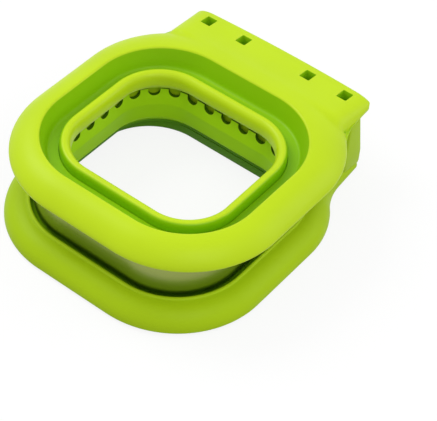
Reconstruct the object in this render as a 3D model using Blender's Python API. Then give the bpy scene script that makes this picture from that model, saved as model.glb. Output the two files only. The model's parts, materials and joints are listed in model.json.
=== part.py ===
"""Sandwich cutter and sealer: a base with an upright notched anvil, and a hinged lid with a steel blade.

Sizes below are in millimetres, measured from the table and from the middle of the funnel, with the
hinge at the rear (+Y). The meshes are made in metres with +Z up, and every object is moved forward so
that the world's origin is on the table under the middle of the whole. The lid is modelled closed.
"""
from math import atan2, cos, degrees, hypot, pi, radians, sin, sqrt

import bmesh
import bpy
from mathutils import Matrix, Vector

MM = 0.001

# Driving sizes
HEIGHT = 42.0                # table to the funnel edge, lid closed
RIM_X, RIM_Y = 49.2, 49.1    # half sizes of the opening inside the base rim
RIM_RADIUS = 31.2
RIM_SHIFT = -1.9             # rim centre in Y
RIM_Z = 11.0
BASE_FLANGE = 11.0           # width of the base's flange
FUNNEL_X, FUNNEL_Y = 49.1, 46.1    # half sizes of the lid's funnel edge
FUNNEL_RADIUS = 32.2
FUNNEL_DEPTH = 9.0
LID_FLANGE = 11.9            # width of the lid's flange at the front and the sides
LID_FLANGE_REAR = 18.4
LID_DROP = 8.0               # fall of the lid's top surface to its edge
LID_EDGE = 0.6               # height of the lid's outer edge below that
LID_BULGE = 0.5              # fullness of that fall, as domed() takes it
COLLAR_X, COLLAR_Y = 39.4, 35.2    # half sizes of the collar's crest line
COLLAR_RADIUS = 21.6
COLLAR_DEPTH = 4.1           # funnel edge down to the collar's crest
ANVIL_DEPTH = 14.4           # funnel edge down to the anvil's top
NOTCHES = 30
NOTCH_WIDTH = 5.2
NOTCH_DEPTH = 4.0
HINGE_Y = 70.5
HINGE_DEPTH = 15.0           # funnel edge down to the hinge axis
WING_HALF = 45.5             # half width of the lid's wing at its rear edge
WING_BEHIND = 5.7            # hinge axis to the middle of the wing's rear edge
WING_BOW = 1.4               # the rear edge's middle stands this far behind its ends
WING_TAPER = 0.05
WING_DEPTH = 3.2             # funnel edge down to the wing's top at its openings
WING_SLOPE = 0.12            # fall of the wing's top towards the rear
WING_ROLL = 2.6              # width of the wing's rounded rear edge
WING_SIDE_ROLL = 8.0         # width of the same rounding at its sides
WING_RISE = 8.0              # length over which the wing's top rises out of the ring
WING_CORNER = 3.6
WING_BLEND = 10.0            # size of the hollow where the wing's sides meet the ring, in plan
BASE_TAPER = 0.075
BASE_CORNER = 3.2
BASE_BLEND = 9.0
HOLE_INNER, HOLE_OUTER = 16.9, 35.8    # centres of the square openings, each side
HOLE_WIDTH, HOLE_LENGTH = 4.7, 5.7

# Clearances, walls and fasteners
GAP = 0.3
SWING_GAP = 0.7              # lid edge to block
WALL = 2.2
FLOOR = 1.8
BLADE_THICK = 0.6
BLADE_BEVEL = 2.2
ANVIL_OUT = 1.4              # anvil curve to the wall's outer face
CRIMP_IN = ANVIL_OUT + 1.0   # collar curve to the inner face of the skirt that hangs round the anvil
CRIMP_WALL = 0.9
CRIMP_REACH = 6.5            # that skirt's lower end below the anvil's top
SKIRT_WALL = 2.0             # the base's inner skirt
ANVIL_FLANGE_OUT = 6.4       # anvil curve to its flange's outer edge
ANVIL_SCREW_OUT = 4.5
ANVIL_BORE = 2.4             # depth of the flange's screw holes
COVER_SCREW_OUT = 4.4        # rim curve to the cover's screws
FRONT_FOOT_OUT = 4.6
BLOCK_AHEAD = 10.9           # hinge axis to the block's front face
RIM_GAP = 1.3                # blade to rim, each side
CLAMP = 2.8                  # thickness of the collar's clamping flange
SHANK = 1.0                  # screw shank radius
BORE = SHANK + GAP
HEAD = 1.8
HEAD_HEIGHT = 0.8
BOSS = HEAD + 0.4
PIN = 1.5                    # hinge pin radius
KNUCKLE = 3.9                # hinge barrel radius
LUG_SIDE = 1.2               # lug wall beside a square opening
FOOT_RADIUS = 4.0
FOOT_STEM = 1.2

# Heights above the table
SKIRT_Z = 1.4
COVER_Z = 1.6
COVER_TOP = COVER_Z + FLOOR
RIM_TOP = RIM_Z - 0.6                    # flange height beside the rim's lip
CHANNEL_Z = RIM_Z - 3.0
CHANNEL_UNDER = CHANNEL_Z - FLOOR
BOSS_TOP = RIM_Z - 2.2
ANVIL_TOP = HEIGHT - ANVIL_DEPTH
ANVIL_FOOT = CHANNEL_Z + GAP
ANVIL_FOOT_TOP = ANVIL_FOOT + 3.4
ANVIL_SOCKET = ANVIL_FOOT_TOP + 1.3
ANVIL_LOWER = CHANNEL_Z + 2.2
GROOVE_Z = HEIGHT - FUNNEL_DEPTH         # top of the lid's groove floor
GROOVE_UNDER = GROOVE_Z - WALL
BLADE_TOP = GROOVE_UNDER - GAP
CLAMP_TOP = BLADE_TOP - BLADE_THICK - GAP
CLAMP_UNDER = CLAMP_TOP - CLAMP
CREST_Z = HEIGHT - COLLAR_DEPTH
LID_SHOULDER_Z = HEIGHT - LID_DROP
LID_EDGE_Z = LID_SHOULDER_Z - LID_EDGE
BLOCK_TOP = LID_EDGE_Z - SWING_GAP
HINGE_Z = HEIGHT - HINGE_DEPTH
SHELF_Z = HINGE_Z - KNUCKLE - 1.6        # step behind the block, below the barrels

# Hinge layout
HALF_LUG = HOLE_WIDTH / 2 + LUG_SIDE
KNUCKLE_START = HOLE_INNER + HALF_LUG + GAP
KNUCKLE_END = HOLE_OUTER - HALF_LUG - GAP
CHEEK_START = HOLE_OUTER + HALF_LUG + 0.9
BLOCK_HALF = WING_HALF - 0.2
BLOCK_FRONT = HINGE_Y - BLOCK_AHEAD
BLOCK_REAR = HINGE_Y - KNUCKLE - 1.4     # between the cheeks
CHEEK_REAR = HINGE_Y - 2.6               # at the block's top
BASE_REAR = HINGE_Y + 1.8
BLOCK_CORNER = 1.6
LUG_FRONT = HINGE_Y - KNUCKLE
HOLE_Y = HINGE_Y - 2.8
WING_Z = HEIGHT - WING_DEPTH
WING_FRONT = FUNNEL_Y            # the wing's top rises out of the ring behind here
LID_SCREW_OUT = CRIMP_IN + CRIMP_WALL + GAP + HEAD    # collar curve to the lid's screws
CLAMP_OUT = LID_SCREW_OUT + HEAD

# Middle of the whole length, which lies over the world's origin
MIDDLE_Y = (HINGE_Y + WING_BEHIND - (RIM_Y - RIM_SHIFT + BASE_FLANGE)) / 2

LIME = (0.56, 0.79, 0.03)
LIME_DEEP = (0.42, 0.66, 0.02)
LIME_PALE = (0.45, 0.62, 0.05)
STEEL = (0.62, 0.63, 0.62)
RUBBER = (0.09, 0.10, 0.08)


def material(name, colour, roughness, metallic=0.0):
    mat = bpy.data.materials.get(name) or bpy.data.materials.new(name)
    mat.use_nodes = True
    shader = mat.node_tree.nodes["Principled BSDF"]
    shader.inputs["Base Color"].default_value = (*colour, 1.0)
    shader.inputs["Roughness"].default_value = roughness
    shader.inputs["Metallic"].default_value = metallic
    mat.diffuse_color = (*colour, 1.0)
    return mat


def world(x, y, z):
    """World place in metres of a point measured from the middle of the funnel."""
    return Vector((x, y - MIDDLE_Y, z)) * MM


def add_object(name, bm, mat=None, location=(0, 0, 0)):
    """Turn a bmesh in millimetres into a smooth-shaded object in metres."""
    bmesh.ops.recalc_face_normals(bm, faces=bm.faces)
    bmesh.ops.scale(bm, vec=(MM, MM, MM), verts=bm.verts)
    mesh = bpy.data.meshes.new(name)
    bm.to_mesh(mesh)
    bm.free()
    mesh.shade_smooth()
    mesh.set_sharp_from_angle(angle=radians(30))
    obj = bpy.data.objects.new(name, mesh)
    bpy.context.collection.objects.link(obj)
    obj.location = world(*location)
    if mat:
        mesh.materials.append(mat)
    return obj


def boolean(obj, operation, tool_name, bm):
    """Cut or join a helper shape, which stays in the scene as a hidden wire."""
    tool = add_object(tool_name, bm)
    tool.display_type = "WIRE"
    tool.hide_render = True
    mod = obj.modifiers.new(f"{operation.title()} {tool_name}", "BOOLEAN")
    mod.operation = operation
    mod.solver = "EXACT"
    mod.object = tool


# Plan curves

def grow(curve, distance):
    """Offset a rounded rectangle given as half sizes, corner radius and shift in Y."""
    return curve[0] + distance, curve[1] + distance, curve[2] + distance, curve[3]


def rounded_loop(curve, corner=9):
    """Points of a rounded rectangle, counter-clockwise, with one more in the middle of each side."""
    half_x, half_y, radius, shift = curve
    points = []
    for k, (sx, sy) in enumerate(((1, 1), (-1, 1), (-1, -1), (1, -1))):
        cx, cy = sx * (half_x - radius), sy * (half_y - radius) + shift
        points += [(cx + radius * cos(a), cy + radius * sin(a)) for a in arc(90 * k, 90 * k + 90, corner)]
        points.append(((0, half_y + shift), (-half_x, shift), (0, shift - half_y), (half_x, shift))[k])
    return points


def winged_outline(ring, rear, wing_half, wing_rear, taper, corner, blend, bow=0.0):
    """Outline of a rounded ring with a rear wing, counter-clockwise from the middle of the front.

    The ring's front half follows the rounded rectangle, and its rear half reaches back to rear. The
    wing's sides close in by taper towards the rear edge and meet the ring in a hollow of size blend.
    The rear edge's middle stands behind its ends by bow.
    """
    half_x, half_y, radius, shift = ring
    front = shift - half_y
    centre_x = half_x - radius
    y0, y1 = front + radius, rear - radius
    right = [(centre_x * i / 2, front) for i in range(2)]
    right += [(centre_x + radius * cos(a), y0 + radius * sin(a)) for a in arc(-90, 0, 9)]
    right.append((half_x, (y0 + y1) / 2))
    meet = 0.0
    while centre_x + radius * cos(meet) > wing_half + taper * (wing_rear - y1 - radius * sin(meet)):
        meet += 0.0005
    arc_end = meet - blend / radius
    right += [(centre_x + radius * cos(a), y1 + radius * sin(a)) for a in arc(0, degrees(arc_end), 5)]
    start = Vector(right[-1])
    bend = Vector((centre_x + radius * cos(meet), y1 + radius * sin(meet)))
    stop = bend + Vector((-taper, 1.0)).normalized() * blend
    for t in (0.25, 0.5, 0.75, 1.0):
        right.append(tuple(start * (1 - t) ** 2 + bend * 2 * t * (1 - t) + stop * t * t))
    cx, cy = wing_half + corner * (taper - sqrt(1 + taper * taper)), wing_rear - bow - corner
    right += [(cx + corner * cos(a), cy + corner * sin(a)) for a in arc(degrees(atan2(taper, 1.0)), 90, 4)]
    right += [(cx * t, wing_rear - bow * t * t) for t in (2 / 3, 1 / 3)]
    left = [(-x, y) for x, y in reversed(right[1:])]
    return right + [(0.0, wing_rear)] + left


def arc(start, end, steps):
    """Angles in radians from start to end degrees, both included."""
    return [radians(start + (end - start) * i / steps) for i in range(steps + 1)]


def inset(points, distance):
    """Move every point of a closed outline inwards along its own normal."""
    moved = []
    count = len(points)
    for i, (x, y) in enumerate(points):
        (ax, ay), (bx, by) = points[i - 1], points[(i + 1) % count]
        length = hypot(bx - ax, by - ay)
        moved.append((x - (by - ay) / length * distance, y + (bx - ax) / length * distance))
    return moved


def inside(x, y, curve):
    half_x, half_y, radius, shift = curve
    qx, qy = abs(x) - (half_x - radius), abs(y - shift) - (half_y - radius)
    return hypot(max(qx, 0.0), max(qy, 0.0)) + min(max(qx, qy), 0.0) < radius


def on_ray(curve, x, y):
    """Where the ray from the origin through (x, y) leaves a rounded rectangle."""
    length = hypot(x, y)
    low, high = 0.0, 4 * max(curve[:2])
    for _ in range(45):
        middle = (low + high) / 2
        if inside(x / length * middle, y / length * middle, curve):
            low = middle
        else:
            high = middle
    return x / length * low, y / length * low


def at_angles(curve, angles):
    return [on_ray(curve, cos(radians(a)), sin(radians(a))) for a in angles]


def between(first, second, t):
    return [(a[0] + (b[0] - a[0]) * t, a[1] + (b[1] - a[1]) * t) for a, b in zip(first, second)]


def at_height(points, z):
    return [(x, y, z) for x, y in points]


def fall(t, bulge):
    """Share of a dome's drop at the share t of its width: bulge 1 is an ellipse and 0 a parabola."""
    t = min(t, 1.0)
    return bulge * (1 - sqrt(1 - t * t)) + (1 - bulge) * t * t


def domed(first, second, z, drop, angles, bulge=1.0):
    """Loops that fall from the first to the second."""
    return [at_height(between(first, second, sin(radians(a))), z - drop * fall(sin(radians(a)), bulge))
            for a in angles]


def lid_top(x, y):
    """Height of the lid's top: the ring's dome, or the flatter wing where that stands higher."""
    reach = hypot(x, y)
    inner, outer = (hypot(*on_ray(curve, x, y)) for curve in (funnel_curve, ring_curve))
    ring = HEIGHT - LID_DROP * fall(max(0.0, (reach - inner) / (outer - inner)), LID_BULGE)
    side = rounded((WING_HALF + 0.5 - abs(x)) / WING_SIDE_ROLL)
    rear = rounded((HINGE_Y + WING_BEHIND - WING_BOW * (x / WING_HALF) ** 2 - y) / WING_ROLL)
    rise = min(1.0, max(0.0, (y - WING_FRONT) / WING_RISE))
    share = side * rear * rise * rise * (3 - 2 * rise)
    top = WING_Z - WING_SLOPE * (y - HOLE_Y)
    wing = LID_SHOULDER_Z + (top - LID_SHOULDER_Z) * share
    return (ring + wing + sqrt((ring - wing) ** 2 + share)) / 2 if share > 0 else ring


def rounded(t):
    """Height of a rounded edge, nought to one, at the share t of its width."""
    return sqrt(1 - (1 - min(1.0, t)) ** 2) if t > 0 else 0.0


# Solids

def join_loops(bm, a, b):
    for i in range(len(a)):
        j = (i + 1) % len(a)
        bm.faces.new((a[i], a[j], b[j], b[i]))


def ring_body(loops):
    """A closed ring skinned through loops; the last loop joins the first."""
    bm = bmesh.new()
    rows = [[bm.verts.new(p) for p in loop] for loop in loops]
    for a, b in zip(rows, rows[1:] + rows[:1]):
        join_loops(bm, a, b)
    return bm


def profile_ring(curve, profile):
    """Sweep a closed profile of (offset, height) points round a rounded rectangle."""
    return ring_body([at_height(rounded_loop(grow(curve, d)), z) for d, z in profile])


def add_stack(bm, loops):
    """A capped body skinned through loops."""
    rows = [[bm.verts.new(p) for p in loop] for loop in loops]
    bm.faces.new(rows[0])
    bm.faces.new(list(reversed(rows[-1])))
    for a, b in zip(rows, rows[1:]):
        join_loops(bm, a, b)


def add_prism(bm, points, low, high, along="Z"):
    """A straight prism; along X its outline is given in Y and Z."""
    if along == "X":
        add_stack(bm, [[(t, y, z) for y, z in points] for t in (low, high)])
    else:
        add_stack(bm, [at_height(points, t) for t in (low, high)])


def add_mirrored_prisms(bm, outline, start, end):
    """The same prism along X on the right and on the left."""
    add_prism(bm, outline, start, end, "X")
    add_prism(bm, outline, -end, -start, "X")


def circle(cx, cy, radius, count=12):
    angles = [2 * pi * i / count for i in range(count)]
    return [(cx + radius * cos(a), cy + radius * sin(a)) for a in angles]


def bores(places, low, high, radius=BORE):
    bm = bmesh.new()
    for x, y in places:
        add_prism(bm, circle(x, y, radius), low, high)
    return bm


# Curves and places shared by several pieces

rim_curve = (RIM_X, RIM_Y, RIM_RADIUS, RIM_SHIFT)
funnel_curve = (FUNNEL_X, FUNNEL_Y, FUNNEL_RADIUS, 0.0)
collar_curve = (COLLAR_X, COLLAR_Y, COLLAR_RADIUS, -0.2)
anvil_curve = (COLLAR_X + 0.5, COLLAR_Y, COLLAR_RADIUS - 0.3, -0.4)
blade_curve = grow(rim_curve, -RIM_GAP)
floor_curve = (COLLAR_X + 2.5, COLLAR_Y + 2.3, COLLAR_RADIUS + 2.0, -0.4)
skirt_curve = (COLLAR_X + 7.2, COLLAR_Y + 2.6, COLLAR_RADIUS + 5.4, -0.4)    # inside face of the inner skirt
base_outline = winged_outline(
    grow(rim_curve, BASE_FLANGE), RIM_Y + RIM_SHIFT + BASE_FLANGE,
    BLOCK_HALF, BASE_REAR, BASE_TAPER, corner=BASE_CORNER, blend=BASE_BLEND)
lid_outline = winged_outline(
    grow(funnel_curve, LID_FLANGE), FUNNEL_Y + LID_FLANGE_REAR,
    WING_HALF, HINGE_Y + WING_BEHIND, WING_TAPER, corner=WING_CORNER, blend=WING_BLEND, bow=WING_BOW)
ring_depth = (LID_FLANGE_REAR + 2 * FUNNEL_Y + LID_FLANGE) / 2
ring_curve = (FUNNEL_X + LID_FLANGE, ring_depth, FUNNEL_RADIUS + LID_FLANGE, (LID_FLANGE_REAR - LID_FLANGE) / 2)
lid_screws = at_angles(grow(collar_curve, LID_SCREW_OUT), (16, 90, 164, 196, 270, 344))
anvil_screws = at_angles(grow(anvil_curve, ANVIL_SCREW_OUT), (16, 164, 196, 344))
cover_screws = at_angles(grow(rim_curve, COVER_SCREW_OUT), (0, 70, 110, 180, 240, 300))
REAR_FOOT_X, REAR_FOOT_Y = BLOCK_HALF - WALL - FOOT_RADIUS - 3.1, BLOCK_FRONT + WALL + FOOT_STEM + 1.6
feet = at_angles(grow(rim_curve, FRONT_FOOT_OUT), (215, 325))
feet += [(-REAR_FOOT_X, REAR_FOOT_Y), (REAR_FOOT_X, REAR_FOOT_Y)]


# Base

def build_base_frame():
    """Flange, rim channel and inner skirt in one shell, with a hollow hinge block at the rear."""
    def rim(d):
        return [on_ray(grow(rim_curve, d), x, y) for x, y in base_outline]

    def skirt(d):
        return [on_ray(grow(skirt_curve, d), x, y) for x, y in base_outline]

    floor = [on_ray(floor_curve, x, y) for x, y in base_outline]
    edge = inset(base_outline, WALL)
    drop = RIM_TOP - SKIRT_Z - 0.6
    loops = [at_height(rim(0.0), RIM_Z - 0.4), at_height(rim(0.4), RIM_Z), at_height(rim(1.2), RIM_Z)]
    loops += domed(rim(1.8), base_outline, RIM_TOP, drop, (0, 25, 45, 60, 75, 90))
    loops += [at_height(base_outline, SKIRT_Z), at_height(edge, SKIRT_Z)]
    loops += domed(rim(3.4), edge, RIM_TOP - WALL, drop - 3.4, (80, 50, 0))
    loops += [at_height(rim(WALL), CHANNEL_UNDER), at_height(skirt(SKIRT_WALL), CHANNEL_UNDER),
              at_height(skirt(SKIRT_WALL), SKIRT_Z), at_height(skirt(0.0), SKIRT_Z),
              at_height(skirt(0.0), CHANNEL_UNDER), at_height(floor, CHANNEL_UNDER),
              at_height(floor, CHANNEL_Z), at_height(rim(0.0), CHANNEL_Z)]
    base = add_object("base_frame", ring_body(loops), material("Lime plastic base", LIME_DEEP, 0.42))

    # Block whose rear face leans forward; the lid's lugs turn in a bay between its cheeks
    bm = bmesh.new()
    centre, length = (BLOCK_FRONT + BASE_REAR) / 2, BASE_REAR - BLOCK_FRONT
    lower = [(0.2, 0.3, COVER_TOP + 0.5), (0.0, 0.1, COVER_TOP + 1.8), (0.0, 0.1, RIM_Z)]
    sections = [(BLOCK_HALF - side, length - back, z) for side, back, z in lower]
    sections.append((BLOCK_HALF, CHEEK_REAR - BLOCK_FRONT, BLOCK_TOP))
    add_stack(bm, [at_height(rounded_loop((half, deep / 2, BLOCK_CORNER, centre - (length - deep) / 2), 3), z)
                   for half, deep, z in sections])
    boolean(base, "UNION", "block_body", bm)

    bm = bmesh.new()
    add_prism(bm, [(BLOCK_REAR, SHELF_Z), (BASE_REAR, SHELF_Z), (BASE_REAR, BLOCK_TOP + 2),
                   (BLOCK_REAR, BLOCK_TOP + 2)], -CHEEK_START, CHEEK_START, "X")
    boolean(base, "DIFFERENCE", "lug_bay", bm)

    bm = bmesh.new()
    barrel = [(HINGE_Y + KNUCKLE * cos(a), HINGE_Z + KNUCKLE * sin(a)) for a in arc(-90, 90, 10)]
    knuckle = [(BLOCK_REAR - 1, HINGE_Z - KNUCKLE)] + barrel + [(BLOCK_REAR - 1, HINGE_Z + KNUCKLE)]
    add_mirrored_prisms(bm, knuckle, KNUCKLE_START, KNUCKLE_END)
    for x, y in cover_screws:
        add_prism(bm, circle(x, y, BOSS), COVER_TOP + GAP, BOSS_TOP)
    boolean(base, "UNION", "knuckles_and_bosses", bm)

    bm = bmesh.new()
    add_prism(bm, [(BLOCK_FRONT + WALL, SKIRT_Z), (BASE_REAR - WALL, SKIRT_Z), (BASE_REAR - WALL, RIM_Z - 0.6),
                   (BASE_REAR - WALL - 2.4, SHELF_Z - WALL), (BLOCK_REAR - WALL, SHELF_Z - WALL),
                   (BLOCK_REAR - WALL, BLOCK_TOP - WALL), (BLOCK_FRONT + WALL, BLOCK_TOP - WALL)],
              WALL - BLOCK_HALF, BLOCK_HALF - WALL, "X")
    boolean(base, "DIFFERENCE", "block_hollow", bm)

    bm = bores(cover_screws, COVER_TOP, BOSS_TOP - 2.0)
    for x, y in anvil_screws:
        add_prism(bm, circle(x, y, BORE), CHANNEL_UNDER - 1, CHANNEL_Z + 1)
    add_mirrored_prisms(bm, circle(HINGE_Y, HINGE_Z, PIN + GAP), KNUCKLE_START - 1, KNUCKLE_END + 1)
    boolean(base, "DIFFERENCE", "base_bores", bm)


def build_base_cover():
    """Ring plate that closes the base from below."""
    outer = inset(base_outline, WALL + GAP)
    inner = [on_ray(grow(skirt_curve, SKIRT_WALL + GAP), x, y) for x, y in base_outline]
    bm = ring_body([at_height(inner, COVER_TOP), at_height(outer, COVER_TOP),
                    at_height(outer, COVER_Z), at_height(inner, COVER_Z)])
    cover = add_object("base_cover", bm, material("Lime plastic cover", LIME_DEEP, 0.5))
    bm = bores(cover_screws, COVER_Z - 1, COVER_TOP + 1)
    for x, y in feet:
        add_prism(bm, circle(x, y, FOOT_STEM + GAP), COVER_Z - 1, COVER_TOP + 1)
    boolean(cover, "DIFFERENCE", "cover_bores", bm)


def build_anvil():
    """Upright wall whose notched top presses the bread shut, pressed into a flange screwed to the base."""
    top, low = ANVIL_TOP, ANVIL_LOWER
    green = material("Lime plastic anvil", LIME_PALE, 0.42)
    profile = [(0.1, low + 0.7), (-0.6, top - 8.6), (0.25, top - 0.4), (0.55, top), (ANVIL_OUT - 0.3, top),
               (ANVIL_OUT, top - 0.4), (ANVIL_OUT, low), (0.5, low)]
    wall = add_object("anvil_ring", profile_ring(anvil_curve, profile), green)
    boolean(wall, "DIFFERENCE", "notch_cutters", notch_cutters())

    socket = ANVIL_OUT + GAP
    profile = [(socket, low), (socket, ANVIL_SOCKET), (socket + 1.4, ANVIL_SOCKET),
               (socket + 1.4, ANVIL_FOOT_TOP), (ANVIL_FLANGE_OUT, ANVIL_FOOT_TOP),
               (ANVIL_FLANGE_OUT, ANVIL_FOOT), (socket + 0.3, ANVIL_FOOT)]
    flange = add_object("anvil_flange", profile_ring(anvil_curve, profile), green)
    boolean(flange, "DIFFERENCE", "anvil_bores", bores(anvil_screws, ANVIL_FOOT - 1, ANVIL_FOOT + ANVIL_BORE))


def notch_cutters():
    """One U-shaped cutter across the wall at each notch, evenly spaced round it."""
    half = NOTCH_WIDTH / 2
    bottom = ANVIL_TOP - NOTCH_DEPTH
    shape = [(half, ANVIL_TOP + 1.0), (-half, ANVIL_TOP + 1.0)]
    shape += [(half * cos(a), bottom + half + half * sin(a)) for a in arc(180, 360, 5)]
    bm = bmesh.new()
    for point, out in evenly_along(grow(anvil_curve, ANVIL_OUT / 2), NOTCHES):
        side = Vector((-out.y, out.x))
        ends = []
        for depth in (-2.2, 2.0):
            spots = [point + out * depth + side * u for u, _ in shape]
            ends.append([(p.x, p.y, z) for p, (_, z) in zip(spots, shape)])
        add_stack(bm, ends)
    return bm


def evenly_along(curve, count):
    """Evenly spaced points with outward directions, the first at the middle of the rear side."""
    loop = rounded_loop(curve, corner=60)
    first = loop.index((0, curve[1] + curve[3]))
    loop = [Vector(p) for p in loop[first:] + loop[:first + 1]]
    lengths = [0.0]
    for a, b in zip(loop, loop[1:]):
        lengths.append(lengths[-1] + (b - a).length)
    result = []
    for n in range(count):
        s = lengths[-1] * n / count
        i = max(k for k in range(len(loop) - 1) if lengths[k] <= s)
        along = (loop[i + 1] - loop[i]).normalized()
        result.append((loop[i] + along * (s - lengths[i]), Vector((along.y, -along.x))))
    return result


# Lid

def build_lid_frame():
    """Domed ring with a rear wing, and a funnel that drops to a groove round the collar."""
    def funnel(d):
        return [on_ray(grow(funnel_curve, d), x, y) for x, y in lid_outline]

    edge = inset(lid_outline, WALL)
    inner = [on_ray(grow(collar_curve, 1.9 + GAP), x, y) for x, y in lid_outline]
    hollow = HEIGHT - WALL - 0.4
    loops = []
    for a in (0, 20, 38, 54, 70, 80):
        spots = between(funnel(0.0), lid_outline, sin(radians(a)))
        loops.append([(x, y, lid_top(x, y)) for x, y in spots])
    loops.append(at_height(lid_outline, LID_SHOULDER_Z))
    loops += [at_height(lid_outline, LID_EDGE_Z), at_height(edge, LID_EDGE_Z)]
    loops += domed(funnel(2.3), edge, hollow, hollow - LID_EDGE_Z, (60, 35, 0), LID_BULGE)
    loops += [at_height(funnel(-0.8), GROOVE_UNDER), at_height(inner, GROOVE_UNDER),
              at_height(inner, GROOVE_Z), at_height(funnel(-3.0), GROOVE_Z)]
    lid = add_object("lid_frame", ring_body(loops), material("Lime plastic lid", LIME, 0.38))

    lug = [(LUG_FRONT - 2.6, BLOCK_TOP + 0.5), (LUG_FRONT, BLOCK_TOP + 0.5)]
    lug += [(HINGE_Y + KNUCKLE * cos(a), HINGE_Z + KNUCKLE * sin(a)) for a in arc(180, 360, 8)]
    lug += [(HINGE_Y + KNUCKLE, LID_SHOULDER_Z + 1.1), (LUG_FRONT - 2.6, WING_Z - 0.6)]
    bm = bmesh.new()
    for x in (HOLE_INNER, HOLE_OUTER):
        add_mirrored_prisms(bm, lug, x - HALF_LUG, x + HALF_LUG)
    boolean(lid, "UNION", "hinge_lugs", bm)

    half, front, rear = HOLE_WIDTH / 2, HOLE_Y - HOLE_LENGTH / 2, HOLE_Y + HOLE_LENGTH / 2
    floor = BLOCK_TOP + 0.2
    bm = bores(lid_screws, GROOVE_UNDER - 1, GROOVE_Z - 0.7)
    opening = [(front, floor), (rear, floor), (rear, HEIGHT + 2), (front, HEIGHT + 2)]
    for x in (HOLE_INNER, HOLE_OUTER):
        add_mirrored_prisms(bm, opening, x - half, x + half)
    add_mirrored_prisms(bm, circle(HINGE_Y, HINGE_Z, PIN + GAP), HOLE_INNER - half, HOLE_OUTER + HALF_LUG + 2)
    boolean(lid, "DIFFERENCE", "lid_openings", bm)


def build_collar():
    """Rounded lip, a flange that clamps the blade's, and a skirt that hangs round the anvil."""
    lip = CREST_Z
    shoulder = ANVIL_TOP + SWING_GAP
    profile = [(-2.9, lip - 6.5), (-2.75, lip - 2.7), (-2.1, lip - 1.1), (-1.1, lip - 0.25), (0.0, lip),
               (1.0, lip - 0.3), (1.7, lip - 1.2), (1.9, lip - 2.6), (1.9, CLAMP_TOP), (CLAMP_OUT, CLAMP_TOP),
               (CLAMP_OUT, CLAMP_UNDER), (CRIMP_IN + CRIMP_WALL, CLAMP_UNDER),
               (CRIMP_IN + CRIMP_WALL, ANVIL_TOP - CRIMP_REACH), (CRIMP_IN, ANVIL_TOP - CRIMP_REACH),
               (CRIMP_IN, shoulder), (-0.4, shoulder), (-0.6, lip - 6.9), (-2.6, lip - 6.9)]
    bright = material("Lime plastic collar", LIME, 0.34)
    collar = add_object("seal_collar", profile_ring(collar_curve, profile), bright)
    boolean(collar, "DIFFERENCE", "collar_bores", bores(lid_screws, CLAMP_UNDER - 1, CLAMP_TOP + 1))


def build_blade():
    """Thin band, bevelled outside at its lower edge, welded round a flat flange that the collar clamps."""
    steel = material("Blade steel", STEEL, 0.2, 1.0)
    tip = CHANNEL_Z + 0.9
    band = [(0.0, BLADE_TOP), (0.0, tip + BLADE_BEVEL), (0.15 - BLADE_THICK, tip), (-BLADE_THICK, tip),
            (-BLADE_THICK, BLADE_TOP)]
    add_object("cutting_blade", profile_ring(blade_curve, band), steel)

    under = BLADE_TOP - BLADE_THICK
    outer, inner = grow(blade_curve, -BLADE_THICK - GAP), grow(collar_curve, 2.6)
    corners = ((inner, BLADE_TOP), (outer, BLADE_TOP), (outer, under), (inner, under))
    flange = add_object("blade_flange", ring_body([at_height(rounded_loop(c), z) for c, z in corners]), steel)
    boolean(flange, "DIFFERENCE", "blade_bores", bores(lid_screws, BLADE_TOP - 2, BLADE_TOP + 1))


# Small pieces

def place_copies(prefix, profile, places, z, mat, sides=10):
    """Turned pieces that share one mesh; profile holds radii and heights from the bottom up."""
    bm = bmesh.new()
    add_stack(bm, [at_height(circle(0, 0, r, sides), h) for r, h in profile])
    first = add_object(f"{prefix}_1", bm, mat)
    for n, (x, y) in enumerate(places, 1):
        obj = first if n == 1 else bpy.data.objects.new(f"{prefix}_{n}", first.data)
        if n > 1:
            bpy.context.collection.objects.link(obj)
        obj.location = world(x, y, z)


def screw_profile(length):
    """Pan-head screw pointing up, with the underside of its head at height zero."""
    return [(HEAD * 0.75, -HEAD_HEIGHT), (HEAD, -HEAD_HEIGHT * 0.4), (HEAD, 0.0), (SHANK, 0.0), (SHANK, length)]


def build_fasteners():
    steel = material("Fastener steel", STEEL, 0.32, 1.0)
    z = CLAMP_UNDER - GAP
    place_copies("lid_screw", screw_profile(GROOVE_Z - 1.0 - z), lid_screws, z, steel)
    z = CHANNEL_UNDER - GAP
    place_copies("anvil_screw", screw_profile(ANVIL_FOOT + ANVIL_BORE - GAP - z), anvil_screws, z, steel)
    z = COVER_Z - GAP
    place_copies("cover_screw", screw_profile(BOSS_TOP - 2.3 - z), cover_screws, z, steel)
    start, end = HOLE_INNER - HOLE_WIDTH / 2 + GAP, HOLE_OUTER + HALF_LUG - GAP
    for name, low, high in (("hinge_pin_left", -end, -start), ("hinge_pin_right", start, end)):
        bm = bmesh.new()
        add_prism(bm, circle(0, 0, PIN), low, high, "X")
        add_object(name, bm, steel, (0, HINGE_Y, HINGE_Z))


def build_feet():
    top = COVER_Z - GAP
    profile = [(FOOT_RADIUS - 0.4, 0.0), (FOOT_RADIUS, 0.4), (FOOT_RADIUS, top), (FOOT_STEM, top),
               (FOOT_STEM, COVER_TOP + 0.8)]
    place_copies("foot", profile, feet, 0.0, material("Foot rubber", RUBBER, 0.8), sides=14)


def hang_lid_on_hinge():
    """Parent the lid's pieces and their helpers to an empty on the hinge axis."""
    axis = bpy.data.objects.new("lid_hinge_axis", None)
    bpy.context.collection.objects.link(axis)
    axis.location = world(0, HINGE_Y, HINGE_Z)
    names = ["lid_frame", "seal_collar", "cutting_blade", "blade_flange"]
    names += ["hinge_lugs", "lid_openings", "collar_bores", "blade_bores"]
    for name in names + [f"lid_screw_{n + 1}" for n in range(len(lid_screws))]:
        obj = bpy.data.objects[name]
        obj.parent = axis
        obj.matrix_parent_inverse = Matrix.Translation(-axis.location)


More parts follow.
